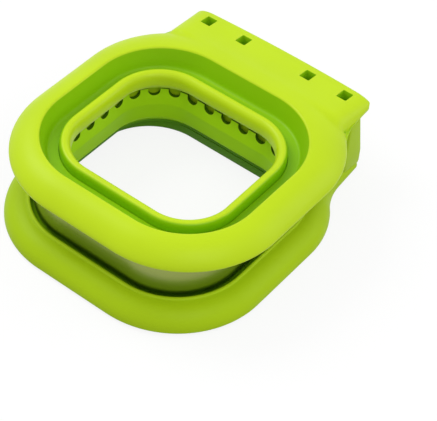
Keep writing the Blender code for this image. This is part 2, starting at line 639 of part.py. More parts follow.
def main():
    for obj in list(bpy.data.objects):
        bpy.data.objects.remove(obj, do_unlink=True)
    build_base_frame()
    build_base_cover()
    build_anvil()
    build_lid_frame()
    build_collar()
    build_blade()
    build_fasteners()
    build_feet()
    hang_lid_on_hinge()


main()
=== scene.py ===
"""Bench view of a hinged sandwich cutter and sealer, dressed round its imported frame.

Sizes in the panels are in millimetres, measured from the table and from the middle of the lid's funnel,
with the hinge at the rear (+Y). Meshes are made in metres in the frame's own place.
"""
import json
from math import atan2, cos, degrees, hypot, pi, radians, sin, sqrt

import bmesh
import bpy
from bpy.props import FloatProperty, FloatVectorProperty, IntProperty, PointerProperty
from mathutils import Matrix, Vector
from mathutils.bvhtree import BVHTree


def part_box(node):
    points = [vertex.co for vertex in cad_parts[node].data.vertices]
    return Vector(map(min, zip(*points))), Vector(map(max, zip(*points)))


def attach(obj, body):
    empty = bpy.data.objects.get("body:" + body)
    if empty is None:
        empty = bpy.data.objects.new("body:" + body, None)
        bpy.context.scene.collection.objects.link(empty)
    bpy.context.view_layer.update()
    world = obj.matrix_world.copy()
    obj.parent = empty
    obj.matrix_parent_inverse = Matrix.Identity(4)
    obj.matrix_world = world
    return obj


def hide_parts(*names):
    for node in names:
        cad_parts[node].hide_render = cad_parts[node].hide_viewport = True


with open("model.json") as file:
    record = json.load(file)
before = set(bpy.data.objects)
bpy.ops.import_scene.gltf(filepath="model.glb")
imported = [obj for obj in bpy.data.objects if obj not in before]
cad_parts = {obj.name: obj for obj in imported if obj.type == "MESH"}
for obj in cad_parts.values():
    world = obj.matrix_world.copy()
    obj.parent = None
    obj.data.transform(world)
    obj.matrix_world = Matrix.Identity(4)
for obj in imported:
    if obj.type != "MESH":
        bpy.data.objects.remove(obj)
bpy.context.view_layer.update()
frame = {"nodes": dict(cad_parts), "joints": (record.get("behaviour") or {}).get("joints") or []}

bl_info = {
    "name": "Sandwich press dresser",
    "version": (1, 0, 0),
    "blender": (4, 5, 0),
    "location": "3D View > Sidebar > Press",
    "description": "Builds the moulded shells, blade, screws, feet and stage of a hinged sandwich press",
    "category": "Object",
}

MM = 0.001
HINGE = frame["joints"][0]["pos_m"]
HINGE_Y, HINGE_Z = 70.5, HINGE[2] / MM
SHIFT_Y = HINGE_Y - HINGE[1] / MM         # own Y minus the frame's Y

# Sizes, places and heights in millimetres that the pieces share

GAP = 0.3
WALL, FLOOR, SKIRT_WALL = 2.2, 1.8, 2.0   # moulded shells, flat plates and the base's inner skirt
SKIRT_Z, COVER_TOP, CHANNEL_Z = 1.4, 3.4, 8.0
COVER_UNDER, CHANNEL_UNDER = COVER_TOP - FLOOR, CHANNEL_Z - FLOOR
BAND_WALL, BAND_GAP, BAND_BEVEL = 0.6, 1.3, 2.2    # steel band, its distance from the rim, its ground edge
CLAMP = 2.8                               # thickness of the collar's clamping flange
CRIMP_REACH = 6.5                         # lower end of the collar's skirt below the anvil's top
KNUCKLE, PIN_BORE = 3.9, 1.8              # radii of the hinge barrels and of the bores for the pins
SCREW_BORE, BOSS = 1.3, 2.2               # radii of the screw holes and of the bosses round them
LID_SCREW_OUT, ANVIL_SCREW_OUT, COVER_SCREW_OUT = 5.4, 4.5, 4.4    # from the crest, anvil and rim curves
LUG_SIDE = 1.2                            # lug wall beside a square opening
HOLE_Y = HINGE_Y - 2.8                    # middle of the square openings
BASE_REAR, CHEEK_REAR = HINGE_Y + 1.8, HINGE_Y - 2.6    # rear of the base, and of the cheeks at their top
BLOCK_FRONT, BLOCK_REAR = HINGE_Y - 10.9, HINGE_Y - KNUCKLE - 1.4
BLOCK_INSET, BLOCK_CORNER, CHEEK_GAP = 0.2, 1.6, 0.9    # wing's side to block, and lugs to cheeks
SHELF_Z = HINGE_Z - KNUCKLE - 1.6         # step behind the block, below the barrels
WING_RISE, WING_MARGIN = 8.0, 0.5         # length over which the wing rises, and play of its side rounding
WING_TAPER, WING_BLEND = 0.05, 10.0       # in plan: its sides' lean, and the hollow where they meet the ring
BASE_TAPER, BASE_BLEND, BASE_CORNER = 0.075, 9.0, 3.2
RIM_SHIFT, CREST_SHIFT, ANVIL_SHIFT = -1.9, -0.2, -0.4    # middles of these curves in Y

# Values for making meshes

HALVINGS = 34                             # steps of the search along a ray
WELD, SLIVER = 1e-4, 2e-6                 # own millimetres in a new mesh, and metres after a cut
SHARP_EDGE, FULL_EDGE = radians(32), radians(55)    # shaded as an edge, and a full ridge or crease
SHADE_RAYS, GOLDEN_TURN = 18, 2.39996    # rays for each point, and the turn in radians from ray to ray
RAY_LIFT, RAY_REACH = 0.0002, 0.03        # metres

# Finishes and stage

WHITE = (1.0, 1.0, 1.0, 1.0)
OIL_STAIN, DIRT, DUST = (0.24, 0.26, 0.12, 1.0), (0.20, 0.19, 0.16, 1.0), (0.16, 0.15, 0.13, 1.0)
FLOOR_DARK, FLOOR_LIGHT = (0.44, 0.44, 0.44, 1.0), (0.47, 0.47, 0.47, 1.0)
FLOOR_GLOW = 0.86                         # share of the floor's own light where it is seen directly
CAMERA_AZIMUTH, CAMERA_ELEVATION, CAMERA_ROLL = radians(35.657), radians(45.076), radians(4.0)
CAMERA_X, CAMERA_Y, CAMERA_Z = 288.75, -383.10, 498.47    # own millimetres
LENS, SENSOR, LENS_SHIFT_X, LENS_SHIFT_Y = 137.08, 36.0, 0.0423, -0.0698
LAMP_SIZE, LAMP_AIM = 0.6, Vector((0, 0, 0.02))


def length(label, value, note):
    """A size in millimetres for a panel."""
    return FloatProperty(name=label, description=note, default=value, min=0.0, subtype="NONE", precision=2)


def portion(label, value, note):
    """A share of one for a panel."""
    return FloatProperty(name=label, description=note, default=value, min=0.0, max=1.0, subtype="FACTOR")


def power(label, value, note):
    """A lamp's power for a panel."""
    return FloatProperty(name=label, description=note, default=value, min=0.0, unit="POWER")


def colour(label, value, note):
    """A colour for a panel."""
    return FloatVectorProperty(name=label, description=note, default=value, min=0.0, max=1.0, size=3,
                               subtype="COLOR")


class PressLidSizes(bpy.types.PropertyGroup):
    height: length("Funnel edge height", 42.0, "Table to the edge of the funnel, lid shut")
    funnel_x: length("Funnel half width", 49.1, "Half width of the funnel's edge")
    funnel_y: length("Funnel half depth", 46.1, "Half depth of the funnel's edge, front to rear")
    funnel_radius: length("Funnel corner radius", 32.2, "Corner radius of the funnel's edge")
    funnel_depth: length("Funnel depth", 9.0, "Funnel edge down to the groove floor")
    flange: length("Flange width", 11.9, "Width of the lid's flange at the front and the sides")
    flange_rear: length("Rear flange width", 18.4, "Width of the ring's flange towards the hinge")
    drop: length("Flange fall", 8.0, "Fall of the flange from the funnel edge to its own edge")
    edge: length("Edge height", 0.6, "Upright edge below that fall")
    bulge: portion("Fullness", 0.5, "0 falls like a parabola, 1 like an ellipse")
    wing_half: length("Wing half width", 45.5, "Half width of the wing at its rear edge")
    wing_behind: length("Wing reach", 5.7, "Hinge axis to the middle of the wing's rear edge")
    wing_bow: length("Wing bow", 1.4, "How far the rear edge's middle stands behind its ends")
    wing_depth: length("Wing depth", 3.2, "Funnel edge down to the wing's top at its openings")
    wing_roll: length("Wing edge rounding", 2.6, "Width of the wing's rounded rear edge")
    wing_side_roll: length("Wing side rounding", 8.0, "Width of the same rounding at the wing's sides")
    wing_corner: length("Wing corner radius", 3.6, "Corner radius of the wing in plan")
    wing_slope: portion("Wing slope", 0.12, "Fall of the wing's top towards the rear")
    hole_inner: length("Inner opening place", 16.9, "Middle of the inner square openings, each side")
    hole_outer: length("Outer opening place", 35.8, "Middle of the outer square openings, each side")
    hole_width: length("Opening width", 4.7, "Width of the square openings, across the wing")
    hole_length: length("Opening length", 5.7, "Length of the square openings, front to rear")


class PressCollarSizes(bpy.types.PropertyGroup):
    half_x: length("Collar half width", 39.4, "Half width of the collar's crest line")
    half_y: length("Collar half depth", 35.2, "Half depth of the collar's crest line")
    radius: length("Collar corner radius", 21.6, "Corner radius of the crest line")
    depth: length("Crest depth", 4.1, "Funnel edge down to the collar's crest")


class PressBaseSizes(bpy.types.PropertyGroup):
    rim_x: length("Rim half width", 49.2, "Half width inside the rim")
    rim_y: length("Rim half depth", 49.1, "Half depth inside the rim")
    rim_radius: length("Rim corner radius", 31.2, "Corner radius inside the rim")
    rim_z: length("Rim height", 11.0, "Table to the top of the rim")
    flange: length("Flange width", 11.0, "Width of the base's flange")
    block_top: length("Block height", 32.7, "Table to the top of the hinge block")


class PressAnvilSizes(bpy.types.PropertyGroup):
    depth: length("Anvil depth", 14.4, "Funnel edge down to the anvil's top")
    notches: IntProperty(name="Notches", description="Notches round the anvil", default=30, min=4)
    notch_width: length("Notch width", 5.2, "Width of each notch")
    notch_depth: length("Notch depth", 4.0, "Depth of each notch")


class PressFinishes(bpy.types.PropertyGroup):
    lid: colour("Lid plastic", (0.515, 0.715, 0.008), "Moulded plastic of the lid and its collar")
    base: colour("Base plastic", (0.41, 0.61, 0.006), "Moulded plastic of the base")
    # Painted light: the anvil's plastic is paler and greener than the lid's, standing in for the light it
    # lacks inside the funnel
    anvil: colour("Anvil plastic painted lighter", (0.46, 0.80, 0.008), "Moulded plastic of the anvil wall")
    # Painted reflection: the steel is coloured dark olive green, standing in for the green plastic that it
    # mirrors
    blade: colour("Blade steel", (0.28, 0.33, 0.09), "Steel of the cutting band, tinted by painted reflection")
    steel: colour("Steel", (0.60, 0.61, 0.60), "Screws and hinge pins")
    rubber: colour("Feet", (0.030, 0.034, 0.028), "Rubber of the feet")


class PressStageSettings(bpy.types.PropertyGroup):
    sky: FloatProperty(name="Sky level", description="Strength of the even light", default=0.62, min=0.0)
    key: power("Key light", 4.0, "Power of the lamp on the left")
    fill: power("Fill light", 2.0, "Power of the lamp in front on the right")
    rear: power("Rear light", 1.7, "Power of the low lamp behind on the right")
    floor_half: FloatProperty(name="Floor half size", description="Half the width of the floor",
                              default=1.5, min=0.2, unit="LENGTH")


# Plan curves, as (half width, half depth, corner radius, shift in Y) in millimetres

def grow(curve, distance):
    return curve[0] + distance, curve[1] + distance, curve[2] + distance, curve[3]


def arc(start, end, steps):
    """Angles in radians from start to end degrees, both included."""
    return [radians(start + (end - start) * i / steps) for i in range(steps + 1)]


def rounded_loop(curve, corner, side):
    """Points of a rounded rectangle, counter-clockwise, with steps for each corner and each side."""
    half_x, half_y, radius, shift = curve
    corners = []
    for k, (sx, sy) in enumerate(((1, 1), (-1, 1), (-1, -1), (1, -1))):
        cx, cy = sx * (half_x - radius), sy * (half_y - radius) + shift
        bend = arc(90 * k, 90 * k + 90, corner)
        corners.append([(cx + radius * cos(a), cy + radius * sin(a)) for a in bend])
    points = []
    for k, bend in enumerate(corners):
        (ax, ay), (bx, by) = bend[-1], corners[(k + 1) % 4][0]
        points += bend
        points += [(ax + (bx - ax) * i / side, ay + (by - ay) * i / side) for i in range(1, side)]
    return points


def inside(x, y, curve):
    half_x, half_y, radius, shift = curve
    qx, qy = abs(x) - (half_x - radius), abs(y - shift) - (half_y - radius)
    return hypot(max(qx, 0.0), max(qy, 0.0)) + min(max(qx, qy), 0.0) < radius


def on_ray(curve, x, y):
    """Where the ray from the middle through (x, y) leaves a rounded rectangle."""
    reach = hypot(x, y)
    low, high = 0.0, 3 * max(curve[:2])
    for _ in range(HALVINGS):
        middle = (low + high) / 2
        if inside(x / reach * middle, y / reach * middle, curve):
            low = middle
        else:
            high = middle
    return x / reach * low, y / reach * low


def on_rays(outline, curve, distance):
    """Where the rays through an outline's points leave a curve that is grown by a distance."""
    grown = grow(curve, distance)
    return [on_ray(grown, x, y) for x, y in outline]


def at_angles(curve, angles):
    """Points of a curve in directions given in degrees."""
    return [on_ray(curve, cos(radians(a)), sin(radians(a))) for a in angles]


def winged_outline(ring, rear, wing_half, wing_rear, taper, corner, blend, bow=0.0):
    """Outline of a rounded ring with a rear wing, counter-clockwise from the middle of the front."""
    front_steps, bend_steps, side_steps, blend_steps, wing_steps = 10, 40, 14, 12, 26
    side_pitch, search_step = 1.6, 0.0005
    half_x, half_y, radius, shift = ring
    front = shift - half_y
    centre_x = half_x - radius
    y0, y1 = front + radius, rear - radius
    right = [(centre_x * i / front_steps, front) for i in range(front_steps)]
    right += [(centre_x + radius * cos(a), y0 + radius * sin(a)) for a in arc(-90, 0, bend_steps)]
    right += [(half_x, y0 + (y1 - y0) * i / side_steps) for i in range(1, side_steps)]

    # The wing's side meets the ring's rear bend at this angle, rounded by the blend
    meet = 0.0
    while centre_x + radius * cos(meet) > wing_half + taper * (wing_rear - y1 - radius * sin(meet)):
        meet += search_step
    rear_bend = arc(0, degrees(meet - blend / radius), bend_steps // 2)
    right += [(centre_x + radius * cos(a), y1 + radius * sin(a)) for a in rear_bend]
    start = Vector(right[-1])
    bend = Vector((centre_x + radius * cos(meet), y1 + radius * sin(meet)))
    stop = bend + Vector((-taper, 1.0)).normalized() * blend
    for i in range(1, blend_steps + 1):
        t = i / blend_steps
        right.append(tuple(start * (1 - t) ** 2 + bend * 2 * t * (1 - t) + stop * t * t))

    # Then the wing's side, its corner and its bowed rear edge
    cx, cy = wing_half + corner * (taper - sqrt(1 + taper * taper)), wing_rear - bow - corner
    lean = degrees(atan2(taper, 1.0))
    turn = [(cx + corner * cos(a), cy + corner * sin(a)) for a in arc(lean, 90, side_steps)]
    side_end = Vector(turn[0])
    steps = max(2, int((side_end - stop).length / side_pitch))
    right += [tuple(stop.lerp(side_end, i / steps)) for i in range(1, steps)]
    right += turn
    shares = [1 - i / wing_steps for i in range(1, wing_steps)]
    right += [(cx * t, wing_rear - bow * t ** 2) for t in shares]
    left = [(-x, y) for x, y in reversed(right[1:])]
    return right + [(0.0, wing_rear)] + left


def inset(points, distance):
    """Move every point of a closed outline inwards along its own normal."""
    moved = []
    for i, (x, y) in enumerate(points):
        (ax, ay), (bx, by) = points[i - 1], points[(i + 1) % len(points)]
        span = hypot(bx - ax, by - ay)
        moved.append((x - (by - ay) / span * distance, y + (bx - ax) / span * distance))
    return moved


def between(first, second, t):
    return [(a[0] + (b[0] - a[0]) * t, a[1] + (b[1] - a[1]) * t) for a, b in zip(first, second)]


def evenly_along(curve, count):
    """Evenly spaced points with outward directions, the first at the middle of the rear side."""
    loop = [Vector(p) for p in rounded_loop(curve, 60, 8)]
    first = min((i for i in range(len(loop)) if loop[i].y > 0), key=lambda i: abs(loop[i].x))
    loop = loop[first:] + loop[:first + 1]
    lengths = [0.0]
    for a, b in zip(loop, loop[1:]):
        lengths.append(lengths[-1] + (b - a).length)
    result = []
    for n in range(count):
        s = lengths[-1] * n / count
        i = max(k for k in range(len(loop) - 1) if lengths[k] <= s)
        along = (loop[i + 1] - loop[i]).normalized()
        result.append((loop[i] + along * (s - lengths[i]), Vector((along.y, -along.x))))
    return result


# Loops of points in space, in millimetres

def at_height(points, z):
    return [(x, y, z) for x, y in points]


def ray_loops(outline, curve, profile):
    """Loops on the rays through an outline, at each (distance from a curve, height) of a profile."""
    return [at_height(on_rays(outline, curve, out), z) for out, z in profile]


def inset_loops(outline, profile):
    """Loops at each (distance inside an outline, height) of a profile."""
    return [at_height(inset(outline, deep), z) for deep, z in profile]


def fall(t, bulge):
    """Share of the drop at the share t of a flange's width."""
    return bulge * (1 - sqrt(max(0.0, 1 - t * t))) + (1 - bulge) * t * t


def domed(first, second, z, drop, angles, bulge=1.0):
    """Loops from one outline to another, falling by a drop on the way."""
    shares = [sin(radians(a)) for a in angles]
    return [at_height(between(first, second, t), z - drop * fall(t, bulge)) for t in shares]


def rounded(t):
    """Height of a rounded edge, nought to one, at the share t of its width."""
    return sqrt(1 - (1 - min(1.0, t)) ** 2) if t > 0 else 0.0


def wing_top(lid, y):
    return lid.height - lid.wing_depth - lid.wing_slope * (y - HOLE_Y)


def lid_top(lid, plan, x, y):
    """Height of the lid's top: the ring's dome, or the flatter wing where that stands higher."""
    inner, outer = (hypot(*on_ray(curve, x, y)) for curve in (plan.funnel, plan.ring))
    along = (hypot(x, y) - inner) / (outer - inner)
    ring = lid.height - lid.drop * fall(min(1.0, max(0.0, along)), lid.bulge)
    side = rounded((lid.wing_half + WING_MARGIN - abs(x)) / lid.wing_side_roll)
    rear = HINGE_Y + lid.wing_behind - lid.wing_bow * (x / lid.wing_half) ** 2
    rise = min(1.0, max(0.0, (y - lid.funnel_y) / WING_RISE))
    share = side * rounded((rear - y) / lid.wing_roll) * rise * rise * (3 - 2 * rise)
    wing = plan.shoulder + (wing_top(lid, y) - plan.shoulder) * share
    return (ring + wing + sqrt((ring - wing) ** 2 + share)) / 2 if share > 0 else ring


class Plan:
    """Curves, heights and places that several pieces share, worked out from the panel's sizes."""

    def __init__(self, scene):
        lid, collar, base = scene.press_lid, scene.press_collar, scene.press_base
        self.rim = (base.rim_x, base.rim_y, base.rim_radius, RIM_SHIFT)
        self.band = grow(self.rim, -BAND_GAP)
        self.funnel = (lid.funnel_x, lid.funnel_y, lid.funnel_radius, 0.0)
        ring_depth = (lid.flange_rear + 2 * lid.funnel_y + lid.flange) / 2
        self.ring = (lid.funnel_x + lid.flange, ring_depth, lid.funnel_radius + lid.flange,
                     (lid.flange_rear - lid.flange) / 2)

        # The anvil, the channel's inner edge and the inner skirt follow the collar, each wider in its way
        half_x, half_y, radius = collar.half_x, collar.half_y, collar.radius
        self.crest = (half_x, half_y, radius, CREST_SHIFT)
        self.anvil = (half_x + 0.5, half_y, radius - 0.3, ANVIL_SHIFT)
        self.floor = (half_x + 2.5, half_y + 2.3, radius + 2.0, ANVIL_SHIFT)
        self.skirt = (half_x + 7.2, half_y + 2.6, radius + 5.4, ANVIL_SHIFT)

        self.lid_outline = winged_outline(
            grow(self.funnel, lid.flange), lid.funnel_y + lid.flange_rear, lid.wing_half,
            HINGE_Y + lid.wing_behind, WING_TAPER, lid.wing_corner, WING_BLEND, lid.wing_bow)
        self.block_half = lid.wing_half - BLOCK_INSET
        self.base_outline = winged_outline(
            grow(self.rim, base.flange), base.rim_y + RIM_SHIFT + base.flange, self.block_half,
            BASE_REAR, BASE_TAPER, BASE_CORNER, BASE_BLEND)

        self.anvil_top = lid.height - scene.press_anvil.depth
        self.shoulder = lid.height - lid.drop
        self.groove_z = lid.height - lid.funnel_depth
        self.groove_under = self.groove_z - WALL
        self.band_top = self.groove_under - GAP
        self.clamp_top = self.band_top - BAND_WALL - GAP
        self.clamp_under = self.clamp_top - CLAMP
        self.block_top, self.rim_z = base.block_top, base.rim_z
        self.flange_top, self.boss_top = base.rim_z - 0.6, base.rim_z - 2.2

        self.half_lug = lid.hole_width / 2 + LUG_SIDE
        self.knuckle_start = lid.hole_inner + self.half_lug + GAP
        self.knuckle_end = lid.hole_outer - self.half_lug - GAP
        self.cheek = lid.hole_outer + self.half_lug + CHEEK_GAP
        self.lid_screws = at_angles(grow(self.crest, LID_SCREW_OUT), (16, 90, 164, 196, 270, 344))
        self.anvil_screws = at_angles(grow(self.anvil, ANVIL_SCREW_OUT), (16, 164, 196, 344))
        self.cover_screws = at_angles(grow(self.rim, COVER_SCREW_OUT), (0, 70, 110, 180, 240, 300))


# Meshes, modelled in millimetres and finished in metres

def skin(loops, closed=True):
    """Bend a grid into a ring skinned through loops; its UV map runs along the loops and across them."""
    bm = bmesh.new()
    across, along = len(loops) if closed else len(loops) - 1, len(loops[0])
    bmesh.ops.create_grid(bm, x_segments=across, y_segments=along, size=0.5)
    uv = bm.loops.layers.uv.new("Wrap")
    for face in bm.faces:
        for corner in face.loops:
            corner[uv].uv = (corner.vert.co.y + 0.5, corner.vert.co.x + 0.5)
    for v in bm.verts:
        i = round((v.co.x + 0.5) * across) % len(loops)
        j = round((v.co.y + 0.5) * along) % along
        v.co = loops[i][j]
    bmesh.ops.remove_doubles(bm, verts=bm.verts, dist=WELD)
    bmesh.ops.recalc_face_normals(bm, faces=bm.faces)
    return bm


def ring_round(curve, profile):
    """A ring that follows a curve, skinned through a closed profile of (distance outwards, height)."""
    return skin([at_height(rounded_loop(grow(curve, out), 36, 12), z) for out, z in profile])


def stacked(loops):
    """A solid through a stack of like loops, closed by a flat face at each end."""
    bm = skin(loops, closed=False)
    bmesh.ops.holes_fill(bm, edges=[e for e in bm.edges if e.is_boundary])
    bmesh.ops.recalc_face_normals(bm, faces=bm.faces)
    return bm


def add_block(bm, corners, step):
    """A flat face through corners, pushed into a solid along a step."""
    face = bm.faces.new([bm.verts.new(p) for p in corners])
    made = bmesh.ops.extrude_face_region(bm, geom=[face])["geom"]
    bmesh.ops.translate(bm, vec=step, verts=[g for g in made if isinstance(g, bmesh.types.BMVert)])


def add_prism(bm, points, low, high):
    """An upright prism."""
    add_block(bm, at_height(points, low), (0, 0, high - low))


def add_bar(bm, outline, start, end):
    """A prism along X, with its outline given in Y and Z."""
    add_block(bm, [(start, y, z) for y, z in outline], (end - start, 0, 0))


def add_mirrored_bars(bm, outline, start, end):
    add_bar(bm, outline, start, end)
    add_bar(bm, outline, -end, -start)


def circle(cx, cy, radius, count):
    angles = [2 * pi * i / count for i in range(count)]
    return [(cx + radius * cos(a), cy + radius * sin(a)) for a in angles]


def turned(profile, sides, x, y, z):
    """Spin a profile of (radius, height) that starts and ends on its axis, and set it at a place."""
    bm = bmesh.new()
    verts = [bm.verts.new((r, 0.0, h)) for r, h in profile]
    edges = [bm.edges.new(pair) for pair in zip(verts, verts[1:])]
    bmesh.ops.spin(bm, geom=verts + edges, cent=(0, 0, 0), axis=(0, 0, 1), angle=2 * pi, steps=sides,
                   use_merge=True)
    bmesh.ops.remove_doubles(bm, verts=bm.verts, dist=WELD)
    bmesh.ops.recalc_face_normals(bm, faces=bm.faces)
    bmesh.ops.translate(bm, vec=(x, y, z), verts=bm.verts)
    return bm


def new_mesh_object(name, bm):
    """Move a mesh from its own millimetres to the frame's metres, and make it an object."""
    bmesh.ops.translate(bm, vec=(0, -SHIFT_Y, 0), verts=bm.verts)
    bmesh.ops.scale(bm, vec=(MM, MM, MM), verts=bm.verts)
    mesh = bpy.data.meshes.new(name)
    bm.to_mesh(mesh)
    bm.free()
    obj = bpy.data.objects.new(name, mesh)
    bpy.context.collection.objects.link(obj)
    return obj


def carve(obj, operation, bm):
    """Cut or join a helper shape for good, clear away slivers, and throw the helper away."""
    bmesh.ops.recalc_face_normals(bm, faces=bm.faces)
    tool = new_mesh_object("helper", bm)
    mod = obj.modifiers.new("Carve", "BOOLEAN")
    mod.operation, mod.solver, mod.object = operation, "EXACT", tool
    bpy.context.view_layer.update()
    result = bpy.data.meshes.new_from_object(obj.evaluated_get(bpy.context.evaluated_depsgraph_get()))
    obj.modifiers.clear()
    bm = bmesh.new()
    bm.from_mesh(result)
    bmesh.ops.remove_doubles(bm, verts=bm.verts, dist=SLIVER)
    bmesh.ops.dissolve_degenerate(bm, edges=bm.edges, dist=SLIVER)
    bm.to_mesh(result)
    bm.free()
    old, name = obj.data, obj.data.name
    obj.data = result
    bpy.data.meshes.remove(old)
    result.name = name
    helper_mesh = tool.data
    bpy.data.objects.remove(tool)
    bpy.data.meshes.remove(helper_mesh)


def mark_edges(mesh):
    """Store how sharply each point stands out or lies in a corner, for ridges paler from wear and a painted
    highlight, and painted shade in corners.
    """
    bm = bmesh.new()
    bm.from_mesh(mesh)
    ridge = mesh.attributes.new("ridge", "FLOAT", "POINT")
    crease = mesh.attributes.new("crease", "FLOAT", "POINT")
    for v in bm.verts:
        angles = [e.calc_face_angle_signed(0.0) for e in v.link_edges if len(e.link_faces) == 2]
        ridge.data[v.index].value = min(1.0, max(angles + [0.0]) / FULL_EDGE)
        crease.data[v.index].value = min(1.0, -min(angles + [0.0]) / FULL_EDGE)
    bm.free()


def mark_painted_shade(pieces):
    """Store how enclosed each point lies among the pieces of one body, for painted shade: a darker colour
    there.
    """
    shells = []
    for obj in pieces:
        bm = bmesh.new()
        bm.from_mesh(obj.data)
        shells.append(BVHTree.FromBMesh(bm))
        bm.free()
    rays = []
    for i in range(SHADE_RAYS):
        lift = sqrt((i + 0.5) / SHADE_RAYS)
        flat, turn = sqrt(1 - lift * lift), i * GOLDEN_TURN
        rays.append(Vector((flat * cos(turn), flat * sin(turn), lift)))
    for obj in pieces:
        hollow = obj.data.attributes.new("hollow", "FLOAT", "POINT")
        for v in obj.data.vertices:
            turn = v.normal.to_track_quat("Z", "Y")
            start, depth = v.co + v.normal * RAY_LIFT, 0.0
            for ray in rays:
                hits = [shell.ray_cast(start, turn @ ray, RAY_REACH)[3] for shell in shells]
                near = min([hit for hit in hits if hit is not None], default=RAY_REACH)
                depth += 1 - near / RAY_REACH
            hollow.data[v.index].value = depth / SHADE_RAYS


def finish_piece(obj, material, body, node):
    """Shade a finished piece, hang it on its body and hide the node that it stands for."""
    mesh = obj.data
    mesh.shade_smooth()
    mesh.set_sharp_from_angle(angle=SHARP_EDGE)
    mark_edges(mesh)
    mesh.materials.clear()
    mesh.materials.append(material)
    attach(obj, body)
    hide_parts(node)


def dress_node(name, material):
    """Give a CAD node that keeps its own shape a finished material."""
    mesh = frame["nodes"][name].data
    mesh.materials.clear()
    mesh.materials.append(material)


# Shader groups

class Wiring:
    """Short ways to add and join nodes in one tree."""

    def __init__(self, tree):
        self.tree = tree

    def add(self, kind, **values):
        node = self.tree.nodes.new(kind)
        for name, value in values.items():
            setattr(node, name, value)
        return node

    def join(self, source, target):
        self.tree.links.new(source, target)

    def feed(self, value, socket):
        """Join another node's socket to this one, or set a plain value on it."""
        if isinstance(value, (int, float, tuple)):
            socket.default_value = value
        else:
            self.join(value, socket)

    def noise(self, vector, scale, detail=3.0, roughness=0.5):
        node = self.add("ShaderNodeTexNoise")
        node.inputs["Detail"].default_value = detail
        node.inputs["Roughness"].default_value = roughness
        self.feed(scale, node.inputs["Scale"])
        self.join(vector, node.inputs["Vector"])
        return node.outputs["Fac"]

    def stretch(self, vector, scale):
        node = self.add("ShaderNodeMapping")
        node.inputs["Scale"].default_value = scale
        self.join(vector, node.inputs["Vector"])
        return node.outputs["Vector"]

    def limits(self, value, low, high, out_low=0.0, out_high=1.0):
        node = self.add("ShaderNodeMapRange")
        labels = ("From Min", "From Max", "To Min", "To Max")
        for label, number in zip(labels, (low, high, out_low, out_high)):
            node.inputs[label].default_value = number
        self.join(value, node.inputs["Value"])
        return node.outputs["Result"]

    def maths(self, operation, a, b):
        node = self.add("ShaderNodeMath", operation=operation)
        self.feed(a, node.inputs[0])
        self.feed(b, node.inputs[1])
        return node.outputs[0]

    def mix(self, share, first, second):
        """Mix two colours, on the sockets that a Mix node keeps for colours."""
        node = self.add("ShaderNodeMix", data_type="RGBA")
        self.feed(share, node.inputs[0])
        self.feed(first, node.inputs[6])
        self.feed(second, node.inputs[7])
        return node.outputs[2]

    def object_place(self):
        return self.add("ShaderNodeTexCoord").outputs["Object"]

    def stored(self, name):
        """A value that the mesh holds for each of its points or faces."""
        return self.add("ShaderNodeAttribute", attribute_name=name).outputs["Fac"]

    def bump(self, height, strength, distance, shader):
        """Let a pattern of a height in metres raise the shader's surface."""
        node = self.add("ShaderNodeBump")
        node.inputs["Strength"].default_value = strength
        node.inputs["Distance"].default_value = distance
        self.join(height, node.inputs["Height"])
        self.join(node.outputs["Normal"], shader.inputs["Normal"])

    def white(self, kind):
        node = self.add(kind)
        node.inputs["Color"].default_value = WHITE
        return node

    def mix_shaders(self, share, first, second):
        node = self.add("ShaderNodeMixShader")
        self.feed(share, node.inputs[0])
        self.join(first.outputs[0], node.inputs[1])
        self.join(second.outputs[0], node.inputs[2])
        return node


def new_group(name, numbers, outputs):
    """Start a group with a Vector and some numbers going in, and masks or values coming out."""
    group = bpy.data.node_groups.new(name, "ShaderNodeTree")
    group.interface.new_socket(name="Vector", in_out="INPUT", socket_type="NodeSocketVector")
    for label, default in numbers.items():
        socket = group.interface.new_socket(name=label, in_out="INPUT", socket_type="NodeSocketFloat")
        socket.default_value = default
    for label in outputs:
        group.interface.new_socket(name=label, in_out="OUTPUT", socket_type="NodeSocketFloat")
    w = Wiring(group)
    return group, w, w.add("NodeGroupInput").outputs, w.add("NodeGroupOutput").inputs


def edge_wear_and_light_group():
    """Masks of ridges, for wear and a painted highlight, and of the corners between them, for painted shade,
    from the piece's own attributes.
    """
    group, w, ins, outs = new_group("Edge wear and painted light", {"Patch scale": 90.0}, ("Ridge", "Crease"))
    patches = w.noise(ins["Vector"], ins["Patch scale"], 4.0)
    for label, low, high in (("Ridge", 0.35, 0.75), ("Crease", 0.2, 0.6)):
        patch = w.limits(patches, low, high, 0.25, 1.0)
        w.join(w.maths("MULTIPLY", w.stored(label.lower()), patch), outs[label])
    return group


def moulding_group():
    """Slow colour drift, flow haze, fine grain and scuffs of injection-moulded plastic."""
    group, w, ins, outs = new_group("Moulded surface", {}, ("Drift", "Haze", "Grain", "Scuffs"))
    vector = ins["Vector"]
    w.join(w.limits(w.noise(vector, 26.0, 2.0), 0.3, 0.7), outs["Drift"])
    w.join(w.noise(w.stretch(vector, (1.0, 3.0, 2.0)), 60.0, 5.0, 0.6), outs["Haze"])
    w.join(w.noise(vector, 2600.0, 2.0, 0.6), outs["Grain"])
    streaks = w.noise(w.stretch(vector, (40.0, 500.0, 90.0)), 3.0, 3.0, 0.55)
    patches = w.noise(vector, 48.0)
    scuffs = w.maths("MULTIPLY", w.limits(streaks, 0.62, 0.74), w.limits(patches, 0.5, 0.68))
    w.join(scuffs, outs["Scuffs"])
    return group


